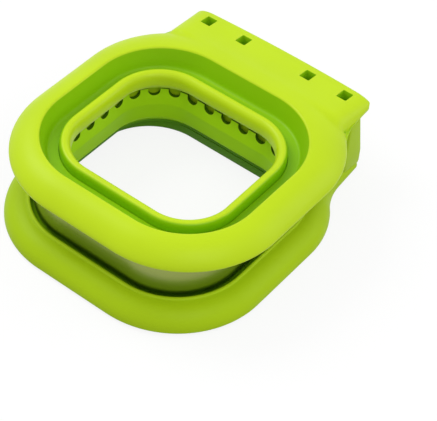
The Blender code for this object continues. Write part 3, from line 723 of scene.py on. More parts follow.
def brushed_group():
    """Fine lines that run round a rolled steel band, along its own map."""
    group, w, ins, outs = new_group("Brushed lines", {"Along": 6.0, "Across": 900.0}, ("Lines", "Blotch"))
    scale = w.add("ShaderNodeCombineXYZ")
    w.join(ins["Along"], scale.inputs["X"])
    w.join(ins["Across"], scale.inputs["Y"])
    stretched = w.add("ShaderNodeVectorMath", operation="MULTIPLY")
    w.join(ins["Vector"], stretched.inputs[0])
    w.join(scale.outputs[0], stretched.inputs[1])
    w.join(w.noise(stretched.outputs[0], 1.0, 4.0, 0.6), outs["Lines"])
    w.join(w.noise(ins["Vector"], 9.0), outs["Blotch"])
    return group


def group_node(w, name, build, vector):
    """A node for a shared group, which is built the first time that it is asked for."""
    node = w.add("ShaderNodeGroup", node_tree=bpy.data.node_groups.get(name) or build())
    w.join(vector, node.inputs["Vector"])
    return node


# Materials

def shared_material(name, finish, *values):
    """The material of this name, finished the first time that it is asked for."""
    material = bpy.data.materials.get(name)
    if material is None:
        material = bpy.data.materials.new(name)
        material.use_nodes = True
        finish(Wiring(material.node_tree), material.node_tree.nodes["Principled BSDF"], *values)
    return material


def shade(body, factor):
    """A paler or deeper shade of a colour, as four numbers."""
    return (*[min(1.0, c * factor) for c in body], 1.0)


def deepened(body, red, green, blue):
    """A colour with each of its channels turned down by its own factor, as four numbers."""
    return body[0] * red, body[1] * green, body[2] * blue, 1.0


def plastic(w, shader, body, gloss, shine=0.2):
    """Satin moulded plastic: ridges paler from wear and a painted highlight, painted shade in corners,
    hollows and notches, and faint flow marks.
    """
    place = w.object_place()
    moulded = group_node(w, "Moulded surface", moulding_group, place).outputs
    wear_and_light = group_node(w, "Edge wear and painted light", edge_wear_and_light_group, place).outputs
    gains, lifts = (1.12, 1.06, 1.5), (0.05, 0.03, 0.03)
    pale = (*[min(1.0, c * gain + lift) for c, gain, lift in zip(body, gains, lifts)], 1.0)
    tint = w.mix(moulded["Drift"], shade(body, 0.965), shade(body, 1.03))
    # Ridges are paler from wear and from a painted highlight
    tint = w.mix(w.maths("MULTIPLY", wear_and_light["Ridge"], 0.45), tint, pale)
    # Painted shade in the creases
    tint = w.mix(w.maths("MULTIPLY", wear_and_light["Crease"], 0.5), tint, shade(body, 0.80))
    tint = w.mix(w.maths("MULTIPLY", moulded["Scuffs"], 0.10), tint, pale)
    # Painted shade: two steps of deeper colour where the stored hollow value marks an enclosed place
    hollow = w.stored("hollow")
    tint = w.mix(w.limits(hollow, 0.08, 0.30), tint, deepened(body, 0.52, 0.76, 0.2))
    tint = w.mix(w.limits(hollow, 0.75, 1.0), tint, deepened(body, 0.25, 0.46, 0.2))
    # Painted shade: the notches' narrow faces and the anvil's top are painted nearly black green
    tint = w.mix(w.maths("MULTIPLY", w.stored("pinched"), 0.9), tint, deepened(body, 0.04, 0.10, 0.1))
    w.join(tint, shader.inputs["Base Color"])
    rough = w.limits(moulded["Haze"], 0.3, 0.7, gloss - 0.03, gloss + 0.05)
    rough = w.maths("ADD", rough, w.maths("MULTIPLY", moulded["Scuffs"], 0.08))
    rough = w.maths("SUBTRACT", rough, w.maths("MULTIPLY", wear_and_light["Ridge"], 0.05))
    w.join(rough, shader.inputs["Roughness"])
    w.bump(moulded["Grain"], 0.10, 0.00005, shader)
    shader.inputs["IOR"].default_value = 1.47
    shader.inputs["Specular IOR Level"].default_value = shine


def rolled_steel(w, shader, body):
    """Steel band with fine lines along it and oil stains; the blade's colour given to it carries a painted
    green reflection.
    """
    wrap = w.add("ShaderNodeUVMap", uv_map="Wrap").outputs["UV"]
    brushed = group_node(w, "Brushed lines", brushed_group, wrap)
    brushed.inputs["Along"].default_value = 5.0
    brushed.inputs["Across"].default_value = 160.0
    lines, blotch = brushed.outputs["Lines"], brushed.outputs["Blotch"]
    tint = w.mix(lines, shade(body, 0.90), shade(body, 1.08))
    stained = w.maths("MULTIPLY", w.limits(blotch, 0.45, 0.7), 0.25)
    w.join(w.mix(stained, tint, OIL_STAIN), shader.inputs["Base Color"])
    shader.inputs["Metallic"].default_value = 1.0
    w.join(w.limits(lines, 0.3, 0.7, 0.16, 0.27), shader.inputs["Roughness"])
    w.bump(lines, 0.12, 0.00004, shader)


def turned_steel(w, shader, body):
    """Bright turned steel with a little dirt."""
    place = w.object_place()
    smears = w.noise(w.stretch(place, (1.0, 1.0, 14.0)), 700.0, 4.0, 0.6)
    dirt = w.limits(w.noise(place, 380.0, 4.0), 0.5, 0.72)
    tint = w.mix(smears, shade(body, 0.82), shade(body, 1.08))
    w.join(w.mix(w.maths("MULTIPLY", dirt, 0.4), tint, DIRT), shader.inputs["Base Color"])
    shader.inputs["Metallic"].default_value = 1.0
    w.join(w.limits(smears, 0.3, 0.7, 0.24, 0.42), shader.inputs["Roughness"])


def soft_rubber(w, shader, body):
    """Dark matt rubber with a fine grain and a little dust."""
    place = w.object_place()
    grain = w.noise(place, 1900.0, 4.0, 0.7)
    dust = w.limits(w.noise(place, 210.0, 4.0), 0.48, 0.7)
    tint = w.mix(grain, shade(body, 0.85), shade(body, 1.2))
    w.join(w.mix(w.maths("MULTIPLY", dust, 0.3), tint, DUST), shader.inputs["Base Color"])
    w.join(w.limits(grain, 0.3, 0.7, 0.68, 0.86), shader.inputs["Roughness"])
    w.bump(grain, 0.35, 0.00006, shader)


def lid_plastic(scene):
    return shared_material("Lime lid plastic", plastic, tuple(scene.press_finishes.lid), 0.40)


def collar_plastic(scene):
    return shared_material("Lime collar plastic", plastic, tuple(scene.press_finishes.lid), 0.36)


def base_plastic(scene):
    return shared_material("Lime base plastic", plastic, tuple(scene.press_finishes.base), 0.44, 0.12)


def anvil_plastic(scene):
    return shared_material("Lime anvil plastic painted lighter", plastic, tuple(scene.press_finishes.anvil), 0.46, 0.08)


def blade_steel(scene):
    return shared_material("Rolled blade steel with painted reflection", rolled_steel, tuple(scene.press_finishes.blade))


def screw_steel(scene):
    return shared_material("Turned steel", turned_steel, tuple(scene.press_finishes.steel))


def foot_rubber(scene):
    return shared_material("Foot rubber", soft_rubber, tuple(scene.press_finishes.rubber))


# Pieces

class PRESS_OT_base_shell(bpy.types.Operator):
    """Build the base: flange, beaded rim, channel, inner skirt and hinge block"""
    bl_idname = "press.base_shell"
    bl_label = "Base shell"

    def execute(self, context):
        scene = context.scene
        plan = Plan(scene)
        shell = new_mesh_object("base_shell", skin(self.shell_loops(plan)))
        carve(shell, "UNION", self.block(plan))
        carve(shell, "DIFFERENCE", self.space_between_cheeks(plan))
        carve(shell, "UNION", self.knuckles_and_bosses(plan))
        carve(shell, "DIFFERENCE", self.block_hollow(plan))
        carve(shell, "DIFFERENCE", self.bores(plan))
        finish_piece(shell, base_plastic(scene), "base", "base_frame")
        return {"FINISHED"}

    @staticmethod
    def shell_loops(plan):
        """Loops from the channel over the rim's bead and the flange, and back underneath to the channel."""
        outline, rim_z, flange_top = plan.base_outline, plan.rim_z, plan.flange_top
        drop = flange_top - SKIRT_Z - 0.6
        loops = ray_loops(outline, plan.rim, (
            (0.0, CHANNEL_Z + 0.5), (0.0, rim_z - 0.75), (0.06, rim_z - 0.42), (0.22, rim_z - 0.16),
            (0.48, rim_z - 0.02), (0.8, rim_z), (1.12, rim_z - 0.03), (1.4, rim_z - 0.2),
            (1.58, rim_z - 0.44), (1.66, rim_z - 0.62)))
        loops += domed(on_rays(outline, plan.rim, 1.9), outline, flange_top - 0.12, drop - 0.12,
                       range(0, 89, 4))
        loops += inset_loops(outline, (
            (0.0, SKIRT_Z + 0.5), (0.06, SKIRT_Z + 0.24), (0.22, SKIRT_Z + 0.07), (0.45, SKIRT_Z),
            (WALL - 0.35, SKIRT_Z), (WALL - 0.1, SKIRT_Z + 0.1), (WALL, SKIRT_Z + 0.35)))
        loops += domed(on_rays(outline, plan.rim, 3.4), inset(outline, WALL), flange_top - WALL, drop - 3.4,
                       (80, 65, 50, 35, 20, 0))
        loops += ray_loops(outline, plan.rim, ((WALL, CHANNEL_UNDER),))
        loops += ray_loops(outline, plan.skirt, (
            (SKIRT_WALL, CHANNEL_UNDER), (SKIRT_WALL, SKIRT_Z + 0.4), (SKIRT_WALL - 0.15, SKIRT_Z + 0.1),
            (SKIRT_WALL - 0.5, SKIRT_Z), (0.5, SKIRT_Z), (0.12, SKIRT_Z + 0.12), (0.0, SKIRT_Z + 0.5),
            (0.0, CHANNEL_UNDER - 0.4), (-0.4, CHANNEL_UNDER)))
        loops += ray_loops(outline, plan.floor, (
            (0.4, CHANNEL_UNDER), (0.0, CHANNEL_UNDER + 0.4), (0.0, CHANNEL_Z - 0.4), (0.4, CHANNEL_Z)))
        return loops + ray_loops(outline, plan.rim, ((-0.5, CHANNEL_Z), (-0.14, CHANNEL_Z + 0.14)))

    @staticmethod
    def block(plan):
        """The hinge block, whose rear leans forward towards its top."""
        rim_z = plan.rim_z
        centre, reach = (BLOCK_FRONT + BASE_REAR) / 2, BASE_REAR - BLOCK_FRONT
        lean, rise = BASE_REAR - CHEEK_REAR, plan.block_top - 0.5 - rim_z
        sections = [(0.2, 0.3, COVER_TOP + 0.5), (0.0, 0.1, COVER_TOP + 1.8), (0.0, 0.1, rim_z)]
        sections += [(0.0, 0.1 + (lean - 0.1) * t, rim_z + rise * t) for t in (0.25, 0.5, 0.75, 1.0)]
        sections += [(0.15, lean + 0.15, plan.block_top - 0.15), (0.5, lean + 0.5, plan.block_top)]
        loops = []
        for side, back, z in sections:
            section = (plan.block_half - side, (reach - back) / 2, BLOCK_CORNER, centre - back / 2)
            loops.append(at_height(rounded_loop(section, 8, 2), z))
        return stacked(loops)

    @staticmethod
    def space_between_cheeks(plan):
        """Room for the barrels, between the cheeks and above the shelf."""
        top = plan.block_top + 2
        bm = bmesh.new()
        add_bar(bm, [(BLOCK_REAR, SHELF_Z), (BASE_REAR, SHELF_Z), (BASE_REAR, top), (BLOCK_REAR, top)],
                -plan.cheek, plan.cheek)
        return bm

    @staticmethod
    def knuckles_and_bosses(plan):
        """The two knuckles, and the bosses that the cover's screws go into."""
        root = BLOCK_REAR - 1
        barrel = [(HINGE_Y + KNUCKLE * cos(a), HINGE_Z + KNUCKLE * sin(a)) for a in arc(-90, 90, 28)]
        knuckle = [(root, HINGE_Z - KNUCKLE)] + barrel + [(root, HINGE_Z + KNUCKLE)]
        bm = bmesh.new()
        add_mirrored_bars(bm, knuckle, plan.knuckle_start, plan.knuckle_end)
        for x, y in plan.cover_screws:
            add_prism(bm, circle(x, y, BOSS, 28), COVER_TOP + GAP, plan.boss_top)
        return bm

    @staticmethod
    def block_hollow(plan):
        """The space inside the block, open from below."""
        front, rear, step = BLOCK_FRONT + WALL, BASE_REAR - WALL, BLOCK_REAR - WALL
        shelf, top, half = SHELF_Z - WALL, plan.block_top - WALL, plan.block_half - WALL
        bm = bmesh.new()
        add_bar(bm, [(front, SKIRT_Z), (rear, SKIRT_Z), (rear, plan.flange_top), (rear - 2.4, shelf),
                     (step, shelf), (step, top), (front, top)], -half, half)
        return bm

    @staticmethod
    def bores(plan):
        """Holes for the cover's and the anvil's screws, and the bores for the pins."""
        bm = bmesh.new()
        for x, y in plan.cover_screws:
            add_prism(bm, circle(x, y, SCREW_BORE, 24), COVER_TOP, plan.boss_top - 2.0)
        for x, y in plan.anvil_screws:
            add_prism(bm, circle(x, y, SCREW_BORE, 24), CHANNEL_UNDER - 1, CHANNEL_Z + 1)
        pin_hole = circle(HINGE_Y, HINGE_Z, PIN_BORE, 28)
        add_mirrored_bars(bm, pin_hole, plan.knuckle_start - 1, plan.knuckle_end + 1)
        return bm


class PRESS_OT_anvil_wall(bpy.types.Operator):
    """Build the upright anvil wall with its ring of U-shaped notches, and finish its flange"""
    bl_idname = "press.anvil_wall"
    bl_label = "Anvil wall"

    def execute(self, context):
        scene = context.scene
        anvil, plan = scene.press_anvil, Plan(scene)
        top = plan.anvil_top
        wall = new_mesh_object("anvil_wall", ring_round(plan.anvil, self.profile(top)))
        carve(wall, "DIFFERENCE", self.notches(anvil, plan))
        self.mark_notch_shade(wall.data, (top - anvil.notch_depth - 0.6) * MM, (top - 0.4) * MM)
        finish_piece(wall, anvil_plastic(scene), "base", "anvil_ring")
        dress_node("anvil_flange", anvil_plastic(scene))
        return {"FINISHED"}

    @staticmethod
    def profile(top):
        """Section of the wall, whose inner face stands further in above a step."""
        low = CHANNEL_Z + 2.2
        return [(0.75, low), (0.35, low + 0.12), (0.15, low + 0.5), (0.1, low + 1.2), (-0.25, low + 4.0),
                (-0.62, top - 9.6), (-0.74, top - 8.9), (-0.76, top - 8.3), (-0.68, top - 7.6),
                (-0.42, top - 5.6), (-0.12, top - 3.4), (0.16, top - 1.2), (0.26, top - 0.5),
                (0.42, top - 0.14), (0.62, top), (1.05, top), (1.24, top - 0.12), (1.36, top - 0.35),
                (1.4, top - 0.7), (1.4, low + 6.0), (1.4, low + 0.5), (1.28, low + 0.1), (1.05, low)]

    @staticmethod
    def notches(anvil, plan):
        """U-shaped cutters all round the wall, a little flared at their mouths."""
        top, half = plan.anvil_top, anvil.notch_width / 2
        middle = top - anvil.notch_depth + half
        inwards, through = 2.2, 4.2
        above = (half + 0.35, top + 1.0)
        mouth = [(half, top - 0.4), (half + 0.1, top - 0.12), (half + 0.35, top + 0.1)]
        shape = [above] + [(-u, z) for u, z in reversed(mouth + [above])]
        shape += [(half * cos(a), middle + half * sin(a)) for a in arc(180, 360, 20)] + mouth
        bm = bmesh.new()
        for point, out in evenly_along(grow(plan.anvil, 0.85), anvil.notches):
            side = Vector((-out.y, out.x))
            spots = [point - out * inwards + side * u for u, _ in shape]
            add_block(bm, [(p.x, p.y, z) for p, (_, z) in zip(spots, shape)], (*(out * through), 0.0))
        return bm

    @staticmethod
    def mark_notch_shade(mesh, lowest, rim):
        """Mark the narrow faces of the notches and the wall's top for painted shade, the darkest colour of
        the piece.
        """
        pinched = mesh.attributes.new("pinched", "FLOAT", "FACE")
        for face in mesh.polygons:
            out = Vector((face.center.x, face.center.y + (SHIFT_Y - ANVIL_SHIFT) * MM, 0.0))
            across = abs(face.normal.dot(out.normalized()))
            dark = face.center.z > rim or (across < 0.6 and face.center.z > lowest)
            pinched.data[face.index].value = 1.0 if dark else 0.0


class PRESS_OT_lid_shell(bpy.types.Operator):
    """Build the lid: domed ring and wing, funnel, hinge lugs and square openings"""
    bl_idname = "press.lid_shell"
    bl_label = "Lid shell"

    def execute(self, context):
        scene = context.scene
        lid, plan = scene.press_lid, Plan(scene)
        shell = new_mesh_object("lid_shell", skin(self.shell_loops(lid, plan)))
        carve(shell, "UNION", self.lugs(lid, plan))
        for middle in (lid.hole_inner, lid.hole_outer, -lid.hole_inner, -lid.hole_outer):
            carve(shell, "DIFFERENCE", self.opening(lid, plan, middle))
        carve(shell, "DIFFERENCE", self.bores(lid, plan))
        finish_piece(shell, lid_plastic(scene), "lid", "lid_frame")
        return {"FINISHED"}

    @staticmethod
    def shell_loops(lid, plan):
        """Loops from the funnel's edge over the ring and wing, and back underneath to the funnel."""
        outline, height = plan.lid_outline, lid.height
        edge_z, hollow = plan.shoulder - lid.edge, height - WALL - 0.4
        groove_z, groove_under = plan.groove_z, plan.groove_under
        loops = ray_loops(outline, plan.funnel, (
            (-0.5, height - 0.9), (-0.36, height - 0.5), (-0.12, height - 0.2), (0.25, height - 0.04)))
        crown = on_rays(outline, plan.funnel, 0.6)
        for angle in [*range(0, 82, 3), 83, 86, 88]:
            points = between(crown, outline, sin(radians(angle)))
            loops.append([(x, y, lid_top(lid, plan, x, y)) for x, y in points])
        loops.append(at_height(outline, plan.shoulder))
        loops += inset_loops(outline, (
            (0.0, edge_z + 0.25), (0.08, edge_z + 0.1), (0.25, edge_z), (WALL - 0.3, edge_z),
            (WALL, edge_z + 0.3)))
        loops += domed(on_rays(outline, plan.funnel, 2.3), inset(outline, WALL), hollow, hollow - edge_z,
                       (70, 60, 48, 35, 20, 0), lid.bulge)
        loops += ray_loops(outline, plan.funnel, (
            (1.6, hollow - 1.0), (-0.3, groove_under + 0.5), (-0.8, groove_under)))
        loops += ray_loops(outline, plan.crest, (
            (2.2, groove_under), (2.05, groove_under + 0.3), (2.05, groove_z - 0.1), (2.15, groove_z)))
        return loops + ray_loops(outline, plan.funnel, (
            (-4.2, groove_z), (-3.6, groove_z + 0.12), (-3.1, groove_z + 0.5), (-2.75, groove_z + 1.2),
            (-2.1, groove_z + 3.0), (-1.2, groove_z + 5.8)))

    @staticmethod
    def lugs(lid, plan):
        """Hinge lugs below the wing, one round each square opening."""
        front = HINGE_Y - KNUCKLE
        lug = [(front - 2.6, plan.block_top + 0.5), (front, plan.block_top + 0.5)]
        lug += [(HINGE_Y + KNUCKLE * cos(a), HINGE_Z + KNUCKLE * sin(a)) for a in arc(180, 360, 28)]
        lug += [(HINGE_Y + KNUCKLE, plan.shoulder + 1.1), (front - 2.6, lid.height - lid.wing_depth - 0.6)]
        bm = bmesh.new()
        for x in (lid.hole_inner, lid.hole_outer):
            add_mirrored_bars(bm, lug, x - plan.half_lug, x + plan.half_lug)
        return bm

    @staticmethod
    def opening(lid, plan, middle):
        """A square opening down through the wing and its lug, a little flared at its mouth."""
        loops = []
        for wider, lift in ((0.0, None), (0.0, -0.3), (0.1, -0.08), (0.34, 0.1), (0.4, 2.0)):
            mouth = (lid.hole_width / 2 + wider, lid.hole_length / 2 + wider, 0.3 + wider, HOLE_Y)
            loops.append([(middle + x, y, plan.block_top + 0.2 if lift is None else wing_top(lid, y) + lift)
                          for x, y in rounded_loop(mouth, 4, 2)])
        return stacked(loops)

    @staticmethod
    def bores(lid, plan):
        """Holes for the lid's screws in the groove's floor, and the bores for the pins."""
        bm = bmesh.new()
        for x, y in plan.lid_screws:
            add_prism(bm, circle(x, y, SCREW_BORE, 24), plan.groove_under - 1, plan.groove_z - 0.7)
        start, end = lid.hole_inner - lid.hole_width / 2, lid.hole_outer + plan.half_lug + 2
        add_mirrored_bars(bm, circle(HINGE_Y, HINGE_Z, PIN_BORE, 28), start, end)
        return bm


class PRESS_OT_seal_lip(bpy.types.Operator):
    """Build the rounded collar inside the funnel, with the flange that clamps the blade"""
    bl_idname = "press.seal_lip"
    bl_label = "Seal collar"

    def execute(self, context):
        scene = context.scene
        plan = Plan(scene)
        lip = scene.press_lid.height - scene.press_collar.depth
        collar = new_mesh_object("seal_lip", ring_round(plan.crest, self.profile(plan, lip)))
        bm = bmesh.new()
        for x, y in plan.lid_screws:
            add_prism(bm, circle(x, y, SCREW_BORE, 24), plan.clamp_under - 1, plan.clamp_top + 1)
        carve(collar, "DIFFERENCE", bm)
        finish_piece(collar, collar_plastic(scene), "lid", "seal_collar")
        return {"FINISHED"}

    @staticmethod
    def profile(plan, lip):
        """Section of the lip, then of the clamping flange and the skirt that hangs below it."""
        top, under = plan.clamp_top, plan.clamp_under
        shoulder, end = plan.anvil_top + 0.7, plan.anvil_top - CRIMP_REACH
        return [(-2.6, lip - 6.9), (-2.88, lip - 6.4), (-2.9, lip - 5.2), (-2.86, lip - 3.8),
                (-2.72, lip - 2.6), (-2.45, lip - 1.7), (-2.08, lip - 1.05), (-1.6, lip - 0.55),
                (-1.05, lip - 0.22), (-0.5, lip - 0.05), (0.0, lip), (0.5, lip - 0.07), (0.95, lip - 0.28),
                (1.32, lip - 0.6), (1.6, lip - 1.05), (1.78, lip - 1.6), (1.88, lip - 2.3), (1.9, lip - 3.2),
                (1.9, top + 0.2), (2.1, top), (6.9, top), (7.2, top - 0.3), (7.2, under + 0.3),
                (6.9, under), (3.5, under), (3.3, under - 0.2), (3.3, end + 0.2), (3.1, end), (2.6, end),
                (2.4, end + 0.2), (2.4, shoulder - 0.2), (2.2, shoulder), (-0.2, shoulder),
                (-0.42, shoulder + 0.2), (-0.6, lip - 7.2), (-0.8, lip - 6.95)]


class PRESS_OT_cutting_band(bpy.types.Operator):
    """Build the rolled steel band with its ground edge"""
    bl_idname = "press.cutting_band"
    bl_label = "Cutting band"

    def execute(self, context):
        scene = context.scene
        plan = Plan(scene)
        tip, top, steps = CHANNEL_Z + 0.9, plan.band_top, 24
        fall_to_bevel = top - 0.12 - tip - BAND_BEVEL
        heights = [top - 0.12 - fall_to_bevel * i / steps for i in range(steps + 1)]
        profile = [(-0.12, top)] + [(0.0, z) for z in heights]
        profile += [(-0.1, tip + 1.5), (-0.24, tip + 0.8), (-0.42, tip + 0.1), (-0.5, tip),
                    (-0.58, tip + 0.12)]
        profile += [(-BAND_WALL, z) for z in reversed(heights)] + [(0.12 - BAND_WALL, top)]
        band = new_mesh_object("cutting_band", ring_round(plan.band, profile))
        finish_piece(band, blade_steel(scene), "lid", "cutting_blade")
        dress_node("blade_flange", screw_steel(scene))
        return {"FINISHED"}


class PRESS_OT_screws(bpy.types.Operator):
    """Turn the pan-head screws and cut a cross recess in each head"""
    bl_idname = "press.screws"
    bl_label = "Screws"

    def execute(self, context):
        scene = context.scene
        plan, steel = Plan(scene), screw_steel(scene)
        sets = (("lid_screw", "lid", plan.clamp_under - GAP, plan.lid_screws),
                ("anvil_screw", "base", CHANNEL_UNDER - GAP, plan.anvil_screws),
                ("cover_screw", "base", COVER_UNDER - GAP, plan.cover_screws))
        for prefix, body, seat, places in sets:
            for n, (x, y) in enumerate(places, 1):
                node = f"{prefix}_{n}"
                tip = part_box(node)[1][2] / MM - seat
                screw = new_mesh_object(f"{prefix}_turned_{n}", turned(self.profile(tip), 28, x, y, seat))
                for turn in (n, n + pi / 2):
                    carve(screw, "DIFFERENCE", self.recess_bar(x, y, seat, turn))
                finish_piece(screw, steel, body, node)
        for side in ("left", "right"):
            dress_node(f"hinge_pin_{side}", steel)
        return {"FINISHED"}

    @staticmethod
    def profile(tip):
        """Half section of a screw: the pan head below nought, then the thread up to the tip."""
        root, crest, turns = 0.82, 0.98, 9
        points = [(0.0, -0.8), (0.9, -0.8), (1.3, -0.7), (1.62, -0.5), (1.8, -0.2), (1.8, -0.04),
                  (1.72, 0.0), (1.0, 0.0)]
        pitch = (tip - 0.9) / turns
        for i in range(turns):
            z = 0.4 + (tip - 0.9) * i / turns
            points += [(root, z), (crest, z + pitch * 0.45), (root, z + pitch * 0.9)]
        return points + [(0.6, tip - 0.1), (0.0, tip)]

    @staticmethod
    def recess_bar(x, y, seat, turn):
        """One bar of the cross recess, from below the head up into it."""
        half_length, half_width = 1.15, 0.2
        corners = ((-half_length, -half_width), (half_length, -half_width), (half_length, half_width),
                   (-half_length, half_width))
        bar = [Vector(corner) @ Matrix.Rotation(turn, 2) for corner in corners]
        bm = bmesh.new()
        add_prism(bm, [(x + p.x, y + p.y) for p in bar], seat - 1.2, seat - 0.38)
        return bm


class PRESS_OT_feet(bpy.types.Operator):
    """Turn the rubber feet, with a ring of ribs under each, and finish the cover plate"""
    bl_idname = "press.feet"
    bl_label = "Feet and cover"

    def execute(self, context):
        scene = context.scene
        top, radius, stem = COVER_UNDER - GAP, 4.0, 1.2
        profile = [(0.0, 0.25), (0.9, 0.25), (1.1, 0.0), (1.7, 0.0), (1.9, 0.22), (2.4, 0.22), (2.6, 0.0),
                   (3.5, 0.0), (3.8, 0.1), (3.96, 0.3), (radius, 0.55), (radius, top - 0.15), (3.9, top),
                   (1.25, top), (stem, top + 0.1), (stem, 3.9), (1.05, 4.2), (0.0, 4.2)]
        for n in range(1, 5):
            low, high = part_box(f"foot_{n}")
            x, y = (low[0] + high[0]) / 2 / MM, (low[1] + high[1]) / 2 / MM + SHIFT_Y
            foot = new_mesh_object(f"rubber_foot_{n}", turned(profile, 48, x, y, 0.0))
            finish_piece(foot, foot_rubber(scene), "base", f"foot_{n}")
        dress_node("base_cover", base_plastic(scene))
        return {"FINISHED"}


class PRESS_OT_painted_shade(bpy.types.Operator):
    """Work out the painted shade on the moulded pieces, from how hollow each place lies"""
    bl_idname = "press.hollows"
    bl_label = "Painted shade"

    def execute(self, context):
        plan, height = Plan(context.scene), context.scene.press_lid.height
        for names in (("lid_shell", "seal_lip"), ("base_shell", "anvil_wall")):
            mark_painted_shade([bpy.data.objects[name] for name in names])
        # Painted shade: the funnel's walls take the first step of it, the collar below the anvil's top takes
        # none where it shows through the notches, and the base's inner skirt under the anvil is painted
        # fully dark
        self.set_painted_shade("lid_shell", 0.3, lambda x, y, z: plan.groove_z + 0.3 < z < height - 0.6
                        and inside(x, y, grow(plan.funnel, -0.4)))
        self.set_painted_shade("seal_lip", 0.0, lambda x, y, z: z < plan.anvil_top - 0.2)
        self.set_painted_shade("base_shell", 1.0, lambda x, y, z: z < CHANNEL_Z
                        and inside(x, y, grow(plan.skirt, 0.2)))
        return {"FINISHED"}

    @staticmethod
    def set_painted_shade(name, value, where):
        """Overrule the painted shade from the rays where light comes or fails by another way, such as
        through the notches.
        """
        mesh = bpy.data.objects[name].data
        for v in mesh.vertices:
            if where(v.co.x / MM, v.co.y / MM + SHIFT_Y, v.co.z / MM):
                mesh.attributes["hollow"].data[v.index].value = value


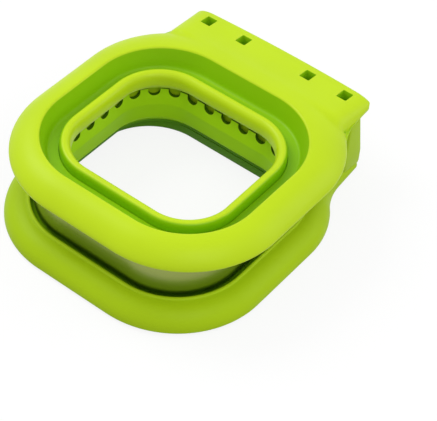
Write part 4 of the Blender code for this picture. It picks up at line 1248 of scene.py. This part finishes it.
class PRESS_OT_stage(bpy.types.Operator):
    """Lay the floor, light the piece and set the camera"""
    bl_idname = "press.stage"
    bl_label = "Stage"

    def execute(self, context):
        scene = context.scene
        stage = scene.press_stage
        bm = bmesh.new()
        bmesh.ops.create_grid(bm, x_segments=8, y_segments=8, size=stage.floor_half)
        mesh = bpy.data.meshes.new("floor")
        bm.to_mesh(mesh)
        bm.free()
        floor = bpy.data.objects.new("floor", mesh)
        context.collection.objects.link(floor)
        mesh.materials.append(self.floor_material())
        self.light_world(scene, stage.sky)
        self.add_lamp("key_lamp", (-0.66, -0.08, 0.77), stage.key)
        self.add_lamp("front_lamp", (0.56, -0.32, 0.77), stage.fill)
        self.add_lamp("rear_lamp", (0.66, 0.62, 0.42), stage.rear)
        self.add_camera(scene)
        scene.view_settings.view_transform = "Standard"
        return {"FINISHED"}

    @staticmethod
    def seen_directly(w):
        """One where the eye, a mirror or glass looks at the surface, and nought for light that bounces."""
        path = w.add("ShaderNodeLightPath")
        seen = w.maths("MAXIMUM", path.outputs["Is Camera Ray"], path.outputs["Is Glossy Ray"])
        return w.maths("MAXIMUM", seen, path.outputs["Is Transmission Ray"])

    def floor_material(self):
        """White ground that still takes the piece's shadow."""
        material = bpy.data.materials.new("White ground")
        material.use_nodes = True
        material.node_tree.nodes.clear()
        w = Wiring(material.node_tree)
        out = w.add("ShaderNodeOutputMaterial")
        matt = w.add("ShaderNodeBsdfDiffuse")
        speckle = w.noise(w.object_place(), 120.0, 4.0)
        w.join(w.mix(speckle, FLOOR_DARK, FLOOR_LIGHT), matt.inputs["Color"])
        paper, glow = w.white("ShaderNodeBsdfDiffuse"), w.white("ShaderNodeEmission")
        glow.inputs["Strength"].default_value = 1.0
        seen_floor = w.mix_shaders(FLOOR_GLOW, paper, glow)
        floor = w.mix_shaders(self.seen_directly(w), matt, seen_floor)
        w.join(floor.outputs[0], out.inputs["Surface"])
        return material

    def light_world(self, scene, level):
        """Even light of a given level, in front of a white background."""
        world = bpy.data.worlds.new("Studio")
        scene.world = world
        world.use_nodes = True
        world.node_tree.nodes.clear()
        w = Wiring(world.node_tree)
        out = w.add("ShaderNodeOutputWorld")
        sky, backdrop = w.white("ShaderNodeBackground"), w.white("ShaderNodeBackground")
        sky.inputs["Strength"].default_value = level
        backdrop.inputs["Strength"].default_value = 1.0
        chosen = w.mix_shaders(self.seen_directly(w), sky, backdrop)
        w.join(chosen.outputs[0], out.inputs["Surface"])

    @staticmethod
    def add_lamp(name, spot, power):
        """A round lamp that is aimed at the piece."""
        light = bpy.data.lights.new(name, "AREA")
        light.energy = power
        light.shape = "DISK"
        light.size = LAMP_SIZE
        lamp = bpy.data.objects.new(name, light)
        bpy.context.collection.objects.link(lamp)
        lamp.location = spot
        lamp.rotation_euler = (Vector(spot) - LAMP_AIM).to_track_quat("Z", "Y").to_euler()

    @staticmethod
    def add_camera(scene):
        """The camera stands where the photograph was taken from, looks down and is rolled a little."""
        data = bpy.data.cameras.new("camera")
        data.sensor_width, data.lens = SENSOR, LENS
        data.shift_x, data.shift_y = LENS_SHIFT_X, LENS_SHIFT_Y
        data.clip_start, data.clip_end = 0.01, 20.0
        camera = bpy.data.objects.new("camera", data)
        bpy.context.collection.objects.link(camera)
        camera.matrix_world = (Matrix.Translation(Vector((CAMERA_X, CAMERA_Y - SHIFT_Y, CAMERA_Z)) * MM)
                               @ Matrix.Rotation(CAMERA_AZIMUTH, 4, "Z")
                               @ Matrix.Rotation(pi / 2 - CAMERA_ELEVATION, 4, "X")
                               @ Matrix.Rotation(CAMERA_ROLL, 4, "Z"))
        scene.camera = camera


# Panel and registration

SETTINGS = {"press_lid": ("Lid", PressLidSizes), "press_collar": ("Collar", PressCollarSizes),
            "press_base": ("Base", PressBaseSizes), "press_anvil": ("Anvil", PressAnvilSizes),
            "press_finishes": ("Finishes", PressFinishes), "press_stage": ("Stage", PressStageSettings)}
OPERATORS = (PRESS_OT_stage, PRESS_OT_base_shell, PRESS_OT_anvil_wall, PRESS_OT_lid_shell, PRESS_OT_seal_lip,
             PRESS_OT_cutting_band, PRESS_OT_screws, PRESS_OT_feet, PRESS_OT_painted_shade)


class PRESS_PT_panel(bpy.types.Panel):
    """Sizes, finishes and build steps of the press"""
    bl_idname = "PRESS_PT_panel"
    bl_label = "Sandwich press"
    bl_space_type = "VIEW_3D"
    bl_region_type = "UI"
    bl_category = "Press"

    def draw(self, context):
        layout = self.layout
        for name, (label, _) in SETTINGS.items():
            box = layout.box()
            box.label(text=label)
            settings = getattr(context.scene, name)
            for size in settings.__annotations__:
                box.prop(settings, size)
        for operator in OPERATORS:
            layout.operator(operator.bl_idname)


def register():
    for name, (_, group) in SETTINGS.items():
        bpy.utils.register_class(group)
        setattr(bpy.types.Scene, name, PointerProperty(type=group))
    for cls in (*OPERATORS, PRESS_PT_panel):
        bpy.utils.register_class(cls)


def unregister():
    for cls in (PRESS_PT_panel, *reversed(OPERATORS)):
        bpy.utils.unregister_class(cls)
    for name, (_, group) in reversed(SETTINGS.items()):
        delattr(bpy.types.Scene, name)
        bpy.utils.unregister_class(group)


def main():
    register()
    for operator in OPERATORS:
        step = operator.bl_idname.split(".")[1]
        if getattr(bpy.ops.press, step)() != {"FINISHED"}:
            raise RuntimeError(f"press.{step} didn't finish")


if __name__ == "__main__":
    main()
